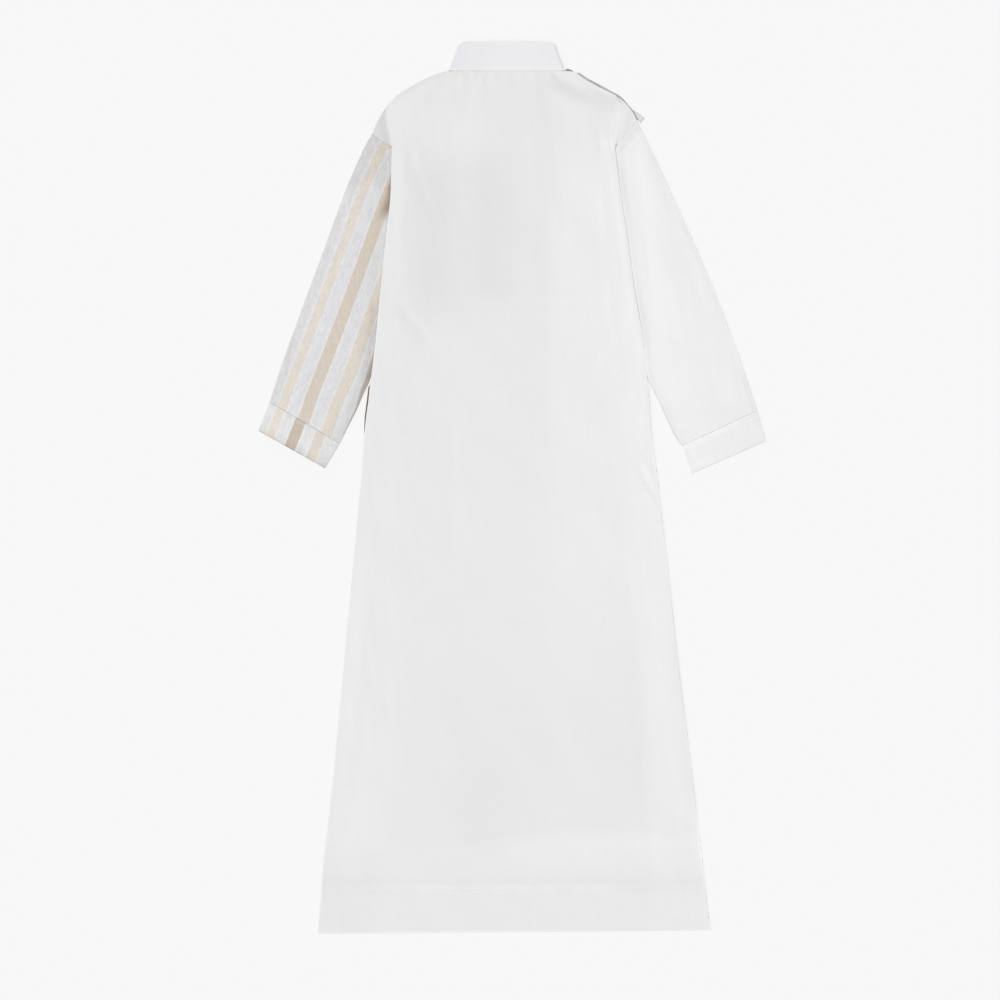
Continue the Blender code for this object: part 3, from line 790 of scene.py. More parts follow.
def back_places():
    """The place of every point of the back, and its place on the cut cloth."""
    marks = [row[0] for row in BACK_SECTIONS]
    y = marks_within([marks[0], IN_COLLAR_Y + 0.2, *marks[1:]], ROW_STEP)
    left = side_line(1, y, *side_of_back(y, 1))
    right = side_line(-1, y, *side_of_back(y, 2))[:, ::-1]
    share = np.arange(1, TOP_COLUMNS + 1) / (TOP_COLUMNS + 1)
    share = share - CROWDING * np.sin(2 * math.pi * share) / (2 * math.pi)
    top_x = blend(left[:, -1:, 0], right[:, :1, 0], share[None, :])
    top_y = np.broadcast_to(y[:, None], top_x.shape)
    top = join(top_x, back_height(top_x, top_y))
    relief = top[:, (0, -1), 1] - join(left[:, -1, 1], right[:, 0, 1])
    ramp = np.linspace(0, 1, left.shape[1]) ** 3
    left[..., 1] += relief[:, :1] * ramp
    right[..., 1] += relief[:, 1:] * ramp[::-1]
    section = np.concatenate([left, top, right], axis=1)
    x, z = section[..., 0], section[..., 1]
    places = join(x, hem_line(x, y[:, None]), z)
    steps = np.linalg.norm(np.diff(section, axis=1), axis=2)
    across = np.concatenate([np.zeros((len(y), 1)), np.cumsum(steps, axis=1)], axis=1)
    across -= across[:, section.shape[1] // 2][:, None]
    return turn_hem(places, join(across, y[:, None]))


def turn_hem(places, flat):
    """Fold the last row under: a small roll, then the turned-up cloth on the underside."""
    last = places[-1]
    lift = np.clip((last[:, 2] - 0.5) / 2.4, 0, 1)
    extra, extra_flat = [], []
    for angle in np.radians(range(30, 181, 30)):
        row = last.copy()
        row[:, 0] = CENTRE_X + (last[:, 0] - CENTRE_X) * (1 - TURN_INSET * angle / math.pi)
        row[:, 1] += LIP - LIP * math.sin(angle)
        row[:, 2] -= LIP * (1 - math.cos(angle)) * lift
        extra.append(row)
        extra_flat.append(flat[-1] - (0, LIP * angle))
    for up in TURN_UP:
        row = extra[-1].copy()
        row[:, 0] = CENTRE_X + (row[:, 0] - CENTRE_X) * (1 - SIDE_SLANT * up)
        row[:, 1] = last[:, 1] + LIP + up
        extra.append(row)
        extra_flat.append(flat[-1] - (0, LIP * math.pi + up))
    places = places.copy()
    places[-1, :, 1] += LIP
    return np.concatenate([places, extra]), np.concatenate([flat, extra_flat])


def back_shade(places):
    """Layers seen through the back, painted shade by folds and troughs, painted light on edges."""
    x, y = places[..., 0], places[..., 1]
    left = x - np.interp(y, (-430, -260, 100, 400), (-153, -148, -138, -130))
    right = x - np.interp(y, (-430, -330, -120, 150, 400), (164, 158, 140, 132, 112))
    floor = y - np.interp(x, (-150, -40, 30, 170), (-430, -428, -412, -410))
    corner = y - np.interp(x, (-125, -110, -4), (370, 400, 404))
    dip = np.interp(x, (43, 57.6, 75.6, 99.6, 122.4), (496, 489, 480.6, 473.4, 465)) - y
    slope = np.interp(x, (-146, -127.5, -101, -78), (461, 477, 491.5, 499)) - y
    seam = y - HEM_SEAM_Y
    edge, end = side_of_back(y, 2)[:2]
    beyond, past, past_end = side_of_back(y, 1)[0] - x, x - edge, end - x
    inside = (left, -14, 14), (right, 9, -9)
    shoulder = (y, 466, 450), (y, 404, 410)
    # Painted shade beside both folds, on the sleeve head at the right, in the trough below the
    # right shoulder and under the left shoulder's edge; painted light along the side edges, the hem
    # edge, the right fold and the armhole seam, so that the rolls do not show as dark lines. The
    # broad patches are layers showing through.
    tone = PLAIN_TONE + soft_patches(
        (0.115, (x, -140, -98), (x, 38, -34), (corner, 26, -34), (y, 176, 250)),
        (-0.04, (x, 36, 54), (y, 410, 350), (y, -300, -60)),
        (0.05, *inside, (floor, -7, 5), (y, -60, -330)),
        (0.04, *inside, (y, -420, 100), (x, 60, 20)),
        (0.03, (y, 380, 470)),
        (0.04, (y, -420, -445)),
        (-0.04, (right, -6, 14)),
        (0.025, (left, 0, -20)),
        (0.15, (dip, -8, 1), (dip, 26, 5), (x, 36, 50), (x, 134, 122)),
        (0.05, (x, 88, 100), (x, 124, 112), (y, 414, 424), (y, 464, 452)),
        (0.09, (slope, 8, 2), (x, -72, -82), (x, -146, -138)),
        (-0.06, (x, -70, 20), (floor, 0, -20), (y, -468, -446)),
        (-0.04, (left, -58, -34), (left, -4, -28), (y, -20, -140), (y, -480, -410)),
        (-0.14, (y, -531.5, -533.4)),
        (0.40, (beyond, -3, 2.5), *shoulder),
        (-0.08, (beyond, 5, 14), *shoulder),
        (-0.18, (beyond, -1.8, -0.4), (y, 40, 0)),
        (-0.18, (past, -1.8, -0.4), (y, 40, 0)),
        (0.12, (past, 1, 5), (past, 18, 8), *shoulder),
        (-0.10, (past, -14, -5), (past, 3.5, 1), *shoulder),
        (-0.14, (past, -1.8, -0.4), (y, 112, 96), (y, -40, 0)),
        (-0.16, (past, -2.4, -0.6), (y, 410, 404)),
        (-0.14, (past_end, 2.4, 0.6), (y, 408, 414), (y, 444, 436)))
    dashes = 0.5 + 0.5 * np.sin(x / 17 + 1.3 * np.sin(x / 41)) * np.sin(x / 7.3)
    stitched = hill(seam, 1.5, 4.2) * ease(x, -168, -120) * ease(x, 150, 90)
    return (tone + 0.04 * hill(x, -26, 55) * hill(y, -375, 60)
            - 0.14 * stitched * dashes + 0.05 * hill(seam, 10, 4))


places, flat = back_places()
back = lay_cloth("back", white_cloth, (places, flat, back_shade(places)), wall=0.3)

# %% [markdown]
# ## The collar
# A stand collar is a doubled band, pressed flat here: its back half lies above, its front half
# below, and it dips to the throat, where a slit parts its two ends. It is a ring of columns that
# goes from one end to the other, bottom edge to top. Its lower edge is rolled over the neck seam.

# %% Collar
COLLAR_BASE_Y = 500
COLLAR_HALF_BASE = 69.6
COLLAR_HALF_TOP = 58.2
COLLAR_DEPTH = 35.4
COLLAR_HEIGHT = 5.5
COLLAR_SIDE = 1.4
FRONT_NECK_DROP = 36
BAND_LAYERS = 0.62
BAND_ROLL = ((0.31, 0), (0.09, 0.15), (0, 0.5), (0.09, 0.85), (0.31, 1))


def neck_seam_y(x):
    """Lower edge of the front half of the collar, which dips to the throat."""
    share = np.minimum(np.abs(x - CENTRE_X) / COLLAR_HALF_BASE, 1)
    return COLLAR_BASE_Y - FRONT_NECK_DROP * (1 - share * share)


def band_path(length, start, turned_in, rows):
    """Along a doubled band: distance from its start and depth below its outer side, row by row."""
    near = [(start + turned_in, 1)] + [(start + along, deep) for along, deep in BAND_ROLL[::-1]]
    far = [(length - along, deep) for along, deep in BAND_ROLL] + [(length - turned_in, 1)]
    middle = [(along, 0) for along in np.linspace(near[-1][0], far[0][0], rows)[1:-1]]
    along, deep = np.array(near + middle + far).T
    return along, deep * BAND_LAYERS


def collar_ring():
    """Each column's place across, and how far it is turned out and up, round half the collar."""
    flat = COLLAR_HALF_BASE - COLLAR_SIDE
    under = np.linspace(0.5, flat, 18)
    turn = np.radians(np.linspace(-90, 90, 9))[1:-1]
    over = np.linspace(flat, 0, 44)
    across = np.concatenate([under, turn * 0 + flat, over])
    out = np.concatenate([under * 0, np.cos(turn), over * 0])
    up = np.concatenate([under * 0 - 1, np.sin(turn), over * 0 + 1])
    return [np.concatenate([half, sign * half[-2::-1]])
            for half, sign in ((across, -1), (out, -1), (up, 1))]


# The collar's own soft creases: height, width, lean and the points of each line.
COLLAR_CREASES = (
    (-0.22, 4, 0.2, (-58, 508), (-40, 513), (-18, 512)),
    (0.20, 5, 0.2, (18, 526), (34, 520), (50, 510)),
    (-0.20, 3, 0.3, (-55, 528), (-50, 518), (-52, 508)),
    (0.16, 3.4, 0.2, (4, 508), (10, 516), (8, 527)),
)


def collar_places():
    """The place of every point of the collar, and its place on the cut cloth."""
    across, out, up = collar_ring()
    along, deep = band_path(COLLAR_DEPTH, start=0, turned_in=17, rows=30)
    half = COLLAR_HEIGHT / 2
    share, deep = along[:, None] / COLLAR_DEPTH, deep[:, None]
    narrowing = blend(COLLAR_HALF_BASE, COLLAR_HALF_TOP, share) / COLLAR_HALF_BASE
    x = CENTRE_X + (across + out * (COLLAR_SIDE - deep)) * narrowing
    dip = (COLLAR_BASE_Y - neck_seam_y(CENTRE_X + across)) * np.clip(-up, 0, 1)
    spread = np.abs(across + out * COLLAR_SIDE) / COLLAR_HALF_BASE
    corner = 3.6 * ease(spread, 0.84, 1) + 1.2 * spread ** 2
    y = COLLAR_BASE_Y - dip + share * (COLLAR_DEPTH - corner)
    above = y - COLLAR_BASE_Y
    roll = 0.35 * hill(above, 3, 2.4) + 0.30 * hill(above, 33, 2.2)
    bow = 0.5 * np.sin(math.pi * share) * (1 - spread ** 2)
    relief = roll + bow + crease_height(x, y, COLLAR_CREASES)
    z = half + up * (half - deep) + relief * ease(up, 0.3, 1)
    return join(x, y, z), join(across + out * half * 1.6, y)


places, flat = collar_places()
x, y = places[..., 0], places[..., 1]
half_width = blend(COLLAR_HALF_BASE, COLLAR_HALF_TOP, (y - COLLAR_BASE_Y) / COLLAR_DEPTH)
# Darker towards the left; painted light along the base, the top edge and the right end, where the
# rolls would show dark.
collar_shade = 0.27 + soft_patches(
    (0.10, (x, -10, -56)),
    (-0.08, (y, 509, 503)),
    (0.08, (x, -52, -70)),
    (-0.30, (y, 532.6, 534.4)),
    (-0.30, (half_width + CENTRE_X - x, 2.2, 0.6)))
collar = lay_cloth("collar_band", collar_cloth, (places, flat, collar_shade), wall=0.28)

# %% [markdown]
# ## The front
# The front lies underneath, face down and flat on the surface. It is two half sheets that share
# the line below the slit. A sheet between four edges is easiest as a Coons patch: every point is a
# blend of the four edges, so the edges come out exact. Only slivers of it show, at the right
# shoulder and beside the left underarm.

# %% The edges of the front
LEFT_ARMHOLE = (
    (-168, 424), (-157, 417), (-144, 408.5), (-133, 387),
    (-126, 345), (-128.5, 273), (-132, 243), (-134.5, 225),
)
RIGHT_ARMHOLE = (
    (150, 440), (137, 424), (124, 408.5), (115, 387),
    (110.5, 345), (116.5, 273), (119.5, 243), (121, 225),
)
LEFT_SHOULDER = ((-81, 497), (-101.5, 489.5), (-127.5, 475), (-138, 468),
                 (-150.5, 454.5), (-159.5, 439), (-166, 425))
RIGHT_SHOULDER = ((63.6, 499.3), (64.8, 503), (68, 502.4), (72, 500.8), (73.6, 497.6),
                  (78, 496.6), (80.5, 498.2), (89.3, 491.7), (111, 480.2), (129.7, 469.8),
                  (134, 465.7), (144.1, 453.5), (149.5, 450))
CORNER_OUT = ((149.5, 450), (155, 446.2), (158.4, 442.8))
CORNER_IN = ((148.7, 440.4), (151, 441), (154.5, 436.9))
LEFT_SIDE = ((-138, 201), (-147.5, 171), (-159.5, 143.5), (-172.2, 121.5), (-174.2, 105),
             (-176.9, 84), (-177.5, 66), (-177.2, 52), (-178, 40), (-180, 21), (-190.2, -87),
             (-201.2, -207), (-213.7, -339), (-227.4, -478), (-230.4, -535.2))
RIGHT_SIDE = ((125, 201), (135.5, 171), (148.5, 146), (159, 127), (163, 105),
              (164.7, 81), (167.7, 57), (172.4, 21), (185.2, -87), (198.4, -207),
              (214, -339), (229.2, -478), (233.4, -530.6))
SLIT_END_Y = 234
ARMHOLE_INSET = (2.1, 1)
HALF_SLIT = 0.5
NECK_INSET = 0.4
HEM_INSET = 0.6
FRONT_COLUMNS = np.linspace(0, 1, 60)


def coons(top, bottom, inner, outer, shares, depths):
    """A sheet between four edges; shares run from the inner edge out, depths from the top down."""
    across, down = shares[None, :, None], depths[:, None, None]
    head, foot = point_at(top, shares)[None], point_at(bottom, shares)[None]
    near, far = point_at(inner, depths)[:, None], point_at(outer, depths)[:, None]
    corners = blend(blend(head[:, :1], head[:, -1:], across),
                    blend(foot[:, :1], foot[:, -1:], across), down)
    return blend(head, foot, down) + blend(near, far, across) - corners


def drawn_in(line, side):
    """An armhole moved in a little, so the front stays clear of the sleeve beside it."""
    return tuple((x - side * ARMHOLE_INSET[0], y + ARMHOLE_INSET[1]) for x, y in line)


def half_front(side, shoulder, outer):
    """One half of the front, from its slit to its armhole and side."""
    reach = np.linspace(0, COLLAR_HALF_BASE - COLLAR_HEIGHT / 2, 9)
    neck_x = CENTRE_X + side * np.maximum(reach, HALF_SLIT)
    neck = [(x, neck_seam_y(x) - NECK_INSET) for x in neck_x]
    hem_y = float(hem_line(CENTRE_X, HEM_Y)) + HEM_INSET
    inner = [neck[0], (neck[0][0], SLIT_END_Y), (CENTRE_X, SLIT_END_Y - 2), (CENTRE_X, hem_y)]
    bottom = [(CENTRE_X, hem_y), outer[-1]]
    return coons(neck + list(shoulder), bottom, inner, outer, FRONT_COLUMNS, FRONT_DEPTHS)


# %% [markdown]
# Where the front peeps out beside the edge of the back, the layer above keeps the light off it, and
# that shade is painted on it.
# Its corner at the right shoulder is a small patch of its own, joined to the half beside it, and
# stands up a little beside the sleeve.

# %% The front, laid
CORNER_ROWS = 7
CORNER_LIFT = 1.7
RIGHT_EDGE = (RIGHT_SHOULDER[-1], CORNER_IN[0]) + drawn_in(RIGHT_ARMHOLE[1:], 1) + RIGHT_SIDE
edge_length = np.linalg.norm(np.diff(RIGHT_EDGE, axis=0), axis=1)
CORNER_DEPTH = edge_length[0] / edge_length.sum()
FRONT_DEPTHS = np.concatenate([np.linspace(0, CORNER_DEPTH, CORNER_ROWS)[:-1],
                               np.linspace(CORNER_DEPTH, 1, 120)])
FRONT_STRIPE_SHIFT = 9.5
CORNER_STRIPE_SHIFT = 9


def front_patch(plane):
    """Height, cloth and shade of a part of the front, from its plan."""
    x, y = plane[..., 0], plane[..., 1]
    corner = (x, 146, 156), (y, 430, 437)
    places = join(x, y, soft_patches((CORNER_LIFT, *corner)))
    # Painted shade: where the front peeps out at the left, at the end of the right shoulder, at a
    # tab by the collar and along the corner's lower edge; the corner is a little darker all over.
    shade = soft_patches(
        (1, (x, -160, -170), (y, 30, 60), (y, 160, 150)),
        (0.10, (x, 112, 128), (x, 147, 144), (y, 430, 440)),
        (0.50, (x, 62, 66), (x, 76, 74), (y, 490, 496)),
        (0.08, *corner),
        (0.50, *corner, (x + 0.56 * y, 401, 397), (x, 144, 146.5)))
    across = x + FRONT_STRIPE_SHIFT - CORNER_STRIPE_SHIFT * ease(x, 138, 144)
    return places, join(across, y), shade


left_armhole = drawn_in(LEFT_ARMHOLE, -1)
left_plane = half_front(-1, LEFT_SHOULDER + left_armhole[:1], left_armhole + LEFT_SIDE)
right_plane = half_front(1, RIGHT_SHOULDER, RIGHT_EDGE)
corner_plane = coons(CORNER_OUT, CORNER_IN, (CORNER_OUT[0], CORNER_IN[0]),
                     (CORNER_OUT[-1], CORNER_IN[-1]), np.linspace(0, 1, 9),
                     np.linspace(0, 1, CORNER_ROWS))
front = lay_cloth("front", striped_cloth, front_patch(left_plane), front_patch(right_plane),
                  front_patch(corner_plane), wall=0.6, facing=-1)

# %% [markdown]
# Behind the slit lies a narrow strip, the placket, which backs the opening. It is hidden, so it is
# kept plain, with its long edges pressed.

# %% The strip behind the slit
PLACKET_WIDTH = 32
PLACKET_TOP_Y = 462
PLACKET_END_Y = 224
PLACKET_HEIGHT = 2.2
across, along = np.meshgrid(np.linspace(-0.5, 0.5, 17),
                            np.linspace(PLACKET_TOP_Y, PLACKET_END_Y, 80))
pressed = 0.2 * ease(np.abs(across), 0.5, 0.38)
places = join(CENTRE_X + across * PLACKET_WIDTH, along, PLACKET_HEIGHT + pressed)
plain_shade = np.full(across.shape, PLAIN_TONE)
placket = lay_cloth("placket", white_cloth, (places, places[..., :2], plain_shade), wall=0.8)

# %% [markdown]
# ## The sleeves
# A sleeve is a tube, pressed flat so that it is folded along its outer and inner edges. Its rings
# run from the armhole, which lies under the fold of the back, to the wrist. The grid of a tube is a
# sheet whose two long edges meet, here along the inner fold, where the real seam is. Where it goes
# into its wrist band it is squeezed, as the gathers of a real sleeve are.

# %% Edges of the sleeves
LEFT_OUTER = ((-167.6, 424.6), (-175.9, 411), (-182.4, 397), (-189.6, 381), (-197.2, 363),
              (-204.4, 344), (-229.3, 276), (-257, 201), (-282.4, 129), (-290.6, 103))
LEFT_INNER = ((-134.5, 225), (-149, 189), (-164.5, 149.5), (-171.4, 126.6), (-178.2, 112.2),
              (-187.6, 90.6), (-198.6, 69), (-206.5, 53))
LEFT_WRIST = ((-304.4, 68), (-224.5, 23))
RIGHT_OUTER = ((150, 440), (157.2, 425.5), (167, 405), (175.2, 388), (194.6, 345),
               (227, 273), (256, 201), (281.8, 129), (294, 92))
RIGHT_INNER = ((121, 225), (141.5, 177), (163, 129), (175, 105),
               (186, 81), (198, 57), (203.5, 50))
RIGHT_WRIST = ((304.4, 55.5), (216, 16.6))
LEFT_LINES = LEFT_OUTER, LEFT_INNER, LEFT_WRIST
RIGHT_LINES = RIGHT_OUTER, RIGHT_INNER, RIGHT_WRIST
SLEEVE_HEIGHT = 2.6
SLEEVE_SWELL = 1.2
SLEEVE_RISE = 0.9
RISE_REACH = 5
CUFF_HEIGHT = 2.6
CUFF_SWELL = 1.1
CUFF_SINK = 0.3
SEAM_GAP = 0.2
EDGE_ROUND = 0.55


def tube_columns(over, under):
    """Columns round a flat tube from its inner fold, under and over: share across and turn."""
    quarter = np.linspace(0, 0.5 * math.pi, 4)
    share = np.linspace(0, 1, over)
    graded = share - 0.5 * np.sin(2 * math.pi * share) / (2 * math.pi)
    below = np.linspace(1, 0, under)
    turn = np.linspace(-0.5, 0.5, 9)[1:-1] * math.pi
    centre = np.concatenate([np.ones(3), below, turn * 0, graded, np.ones(3)])
    angle = np.concatenate([-quarter[:-1], below * 0 - 0.5 * math.pi, turn,
                            graded * 0 + 0.5 * math.pi, quarter[-2::-1]])
    return centre, angle


def tube_plan(start, stop, bow, centre, angle, half, inset):
    """Plan of each point of a tube: rings between two edges, with a half height and an inset."""
    span = stop - start
    length = np.linalg.norm(span, axis=1)[:, None]
    margin = EDGE_ROUND * half + inset
    share = (margin + centre * (length - 2 * margin)) / length
    out = EDGE_ROUND * half * np.cos(angle) * np.where(centre > 0.5, 1, -1)
    return (start[:, None] + span[:, None] * share[..., None]
            + (span / length)[:, None] * out[..., None] + bow(share)), share


print("left sleeve is", round(math.dist(LEFT_OUTER[0], LEFT_OUTER[-1])), "mm down its outer fold")

# %% [markdown]
# The sleeves carry creases of their own: long soft ones that fall from the shoulder, and short ones
# across the elbow and above the band. They fade out where the back lies over them.

# %% The creases of the sleeves
LEFT_SLEEVE_CREASES = (
    (0.50, 7, 0.3, (-176, 398), (-188, 360), (-202, 318)),
    (-0.40, 6, 0.3, (-166, 392), (-174, 350), (-186, 300)),
    (0.45, 8, 0.2, (-166, 300), (-182, 250), (-204, 196)),
    (-0.45, 7, 0.2, (-176, 280), (-196, 230), (-222, 180)),
    (0.40, 6, 0.3, (-240, 232), (-214, 216), (-186, 210)),
    (-0.35, 6, 0.3, (-226, 262), (-206, 246), (-180, 240)),
    (0.45, 6, 0.2, (-262, 172), (-254, 130), (-258, 104)),
    (-0.40, 5, 0.2, (-238, 152), (-240, 118), (-252, 92)),
    (0.35, 5, 0.2, (-216, 140), (-226, 106), (-236, 80)),
)
RIGHT_SLEEVE_CREASES = (
    (0.55, 8, 0.3, (158, 410), (172, 366), (190, 316)),
    (-0.50, 7, 0.3, (146, 402), (158, 350), (172, 300)),
    (0.50, 8, 0.2, (172, 300), (190, 250), (208, 190)),
    (-0.45, 7, 0.2, (200, 300), (222, 240), (242, 180)),
    (0.40, 6, 0.3, (170, 214), (200, 208), (236, 222)),
    (-0.40, 6, 0.3, (176, 182), (206, 176), (240, 188)),
    (0.50, 6, 0.2, (258, 160), (266, 122), (276, 92)),
    (-0.50, 5, 0.2, (240, 140), (250, 106), (256, 84)),
    (0.40, 5, 0.2, (216, 130), (226, 98), (232, 72)),
)
SLEEVE_ROWS = 104
INTO_BAND = (-3.5, -1.6, -0.5, -0.1, -0.02, 0.06, 0.15, 1.2, 4.5)
INTO_ARMHOLE = (5, 3.2, 1.6, 0.6)
HEAD_ROWS = (0.7, 1.6, 2.6)
# How much thinner, in half its height, the tube is where it goes into its band and at its head.
BAND_THINNING = 0.88
HEAD_THINNING = 0.6
BAND_INSET = 0.9
IN_BAND_SHARE = 0.96
SOFTENED = 0.6
LOWEST_RELIEF = -0.9
# Below the underarm the stripes drift outward, and at the elbow they are a little closer.
STRIPE_DRIFT = 3.3
ELBOW_SLACK = 0.09

# %% The sleeves, laid
def sleeve_cloth(armhole, outer, inner, wrist, side, creases):
    """Places and cloth of a sleeve, and what its shade is measured by."""
    length = math.dist(outer[0], outer[-1])
    body = np.linspace(4 / length, 1 - 5 / length, SLEEVE_ROWS)
    down = np.concatenate([np.zeros(len(INTO_ARMHOLE) + 1), np.array(HEAD_ROWS) / length, body])
    past = np.concatenate([(down - 1) * length, INTO_BAND])
    down = np.concatenate([down, np.minimum(1 + np.array(INTO_BAND) / length, 1)])
    inside = np.zeros(len(down))
    inside[:len(INTO_ARMHOLE)] = INTO_ARMHOLE
    edges = []
    for line, corner in ((outer, wrist[0]), (inner, wrist[1])):
        way = np.array(corner) - np.array(line[-1])
        beyond = way / np.linalg.norm(way) * np.maximum(past, 0)[:, None]
        edge = point_at(line, down, curved=True) + beyond
        edge[:, 0] -= side * inside
        edges.append(edge)
    shares = np.linspace(0, 1, 201)
    chord = blend(np.array(armhole[0])[None], np.array(armhole[-1])[None], shares[:, None])
    bulge = point_at(armhole, shares, curved=True) - chord + (side * SEAM_GAP, 0)
    fade = np.maximum(1 - down / 0.4, 0)[:, None] ** 2

    def bow(share):
        return join(*(np.interp(share, shares, way) * fade for way in bulge.T))

    centre, angle = tube_columns(over=62, under=16)
    below_seam = (down * length - inside)[:, None]
    head, settled = ease(below_seam, 1.6, -0.45), ease(below_seam, 0.5, 2.4)
    past = past[:, None]
    tuck = soft_patches((0.3, (past, -10, -0.8)), (0.7, (past, -0.1, 0.15)))
    half = SLEEVE_HEIGHT / 2 - BAND_THINNING * tuck - HEAD_THINNING * head
    inset = BAND_INSET * ease(past, -0.3, 0.3)
    plan, share = tube_plan(*edges, bow, centre, angle, half, inset)
    x, y = plan[..., 0], plan[..., 1]
    outside = side * (x - side_of_back(y, 1 if side < 0 else 2)[0])
    shown = blend(0.02, 0.92, np.minimum(down / 0.5, 1))[:, None]
    swell = SLEEVE_SWELL * ease(down, 0, 0.3)[:, None]
    swell = swell * np.sin(math.pi * np.minimum(share / shown, 1))
    width = np.linalg.norm(edges[1] - edges[0], axis=1)[:, None]
    from_fold = np.minimum(share, 1 - share) * width
    free = ease(outside, 0, 9) * ease(from_fold, 0, 8) * settled
    relief = SOFTENED * crease_height(x, y, creases) + wave_height(x + 400, y)
    in_band = IN_BAND_SHARE * CUFF_SWELL * np.sin(math.pi * np.clip(share, 0, 1)) * tuck
    relief = ((swell + relief * free) * (1 - tuck) + in_band) * np.maximum(np.sin(angle), 0)
    beside = SLEEVE_RISE * ease(outside, -1.2, 1.2) * np.exp(-np.maximum(outside, 0) / RISE_REACH)
    beside = beside * settled * ease(from_fold, 0, 5) * (np.sin(angle) > 0.5)
    middle = SLEEVE_HEIGHT / 2 - 0.15 * tuck + 0.12 * head
    z = middle + half * np.sin(angle) + np.maximum(relief, LOWEST_RELIEF) + beside
    outer_fold = [*point_at(outer, np.linspace(0, 1, 80), curved=True), wrist[0]]
    away, along = distance_from(outer_fold, x, y)[:2]
    shift = STRIPE_DRIFT * np.clip((225 - y) / 120, 0, 1) ** 2
    slack = ELBOW_SLACK * hill(y, 135, 42) * np.maximum(away - 50, 0)
    across = (away + shift - slack) * np.where(angle >= 0, 1, -1)
    measures = x, y, outside, distance_from(inner, x, y)[0], distance_from(outer, x, y)[0]
    return join(x, y, z), join(across, -along), measures


places, flat, (x, y, outside, from_inner, from_outer) = sleeve_cloth(
    LEFT_ARMHOLE, *LEFT_LINES, -1, LEFT_SLEEVE_CREASES)
# Painted shade: a brown line along the inner fold, grey along both folds and beside the back's
# fold, and a dark patch on the tan stripe where it meets that fold.
past_strip = from_inner - blend(1.9, 5.4, ease(y, 92, 126))
past_dark = x - np.interp(y, (326, 345, 372), (-165, -157.5, -146))
shade = soft_patches(
    (0.39, (past_strip, 0.8, -0.8), (y, 50, 90), (y, 186, 140)),
    (0.09, (from_inner, 20, 6), (y, 150, 120)),
    (0.06, (from_outer, 13, 8)),
    (0.18, (outside, 16, 5), (y, 118, 140), (y, 236, 200)),
    (0.09, (outside, 24, 9)),
    (0.09, (y, 350, 372)),
    (0.62, (past_dark, 0, blend(12, 5, ease(y, 346, 362))), (y, 316, 338), (y, 380, 371)))
sleeve_left = lay_cloth("striped_sleeve", striped_cloth, (places, flat, shade), wall=0.3)

places, flat, (x, y, outside, from_inner, from_outer) = sleeve_cloth(
    RIGHT_ARMHOLE, *RIGHT_LINES, 1, RIGHT_SLEEVE_CREASES)
# Painted shade along the inner fold, beside the back's fold and round the head; painted light along
# the outer fold, at the foot of the back's fold and by the armhole seam, where the rolls would show
# dark.
from_head = distance_from(RIGHT_ARMHOLE[:3], x, y)[0]
shade = PLAIN_TONE - 0.10 + soft_patches(
    (0.45, (from_inner, 2.2, 0.5)),
    (-0.20, (from_outer, 2.2, 0.6)),
    (0.04, (outside, 14, 2)),
    (0.10, (outside, 14, 2), (y, 330, 376), (y, 400, 380)),
    (-0.12, (outside, 2.4, 0.8)),
    (0.04, (y, 120, 90)),
    (0.19, (from_head, 15, 3), (outside, 1, 8)),
    (-0.16, (from_head, 2.6, 0.9), (outside, 1, 8)))
sleeve_right = lay_cloth("plain_sleeve", white_cloth, (places, flat, shade), wall=0.3)

# %% [markdown]
# ## The wrist bands
# Each wrist band is a doubled strip sewn into a ring. Both its long edges are folded, so each is a
# soft roll, and the band stands a little higher than the sleeve that goes into it. The same path
# that folds the edges of the collar folds these.

# %% Wrist bands
LEFT_CUFF_CREASES = (
    (0.25, 4, 0.2, (-282, 98), (-284, 84), (-290, 72)),
    (-0.22, 4, 0.2, (-262, 88), (-266, 72), (-272, 58)),
    (0.22, 5, 0.2, (-232, 70), (-240, 54), (-246, 42)),
    (-0.20, 4, 0.2, (-214, 56), (-222, 42), (-228, 32)),
)
RIGHT_CUFF_CREASES = (
    (0.30, 4, 0.2, (286, 92), (290, 78), (296, 66)),
    (-0.26, 4, 0.2, (262, 80), (268, 66), (272, 52)),
    (0.24, 5, 0.2, (232, 66), (238, 50), (244, 38)),
    (-0.30, 4, 0.2, (212, 52), (216, 38), (218, 26)),
)
CUFF_GAP = 0.22
SEAM_IN = 3.4
SEAM_DIP = 0.22
LAST_STRIPE = 101.4
LEFT_STRIPE_STRETCH = 1.09
LEFT_STRIPE_SHIFT = 2.7


def band_sides(outer, inner, wrist, share):
    """Where the two folded sides of a wrist band are, a share of the way down it."""
    return [blend(np.array(line[-1]), np.array(corner), share)
            for line, corner in zip((outer, inner), wrist)]


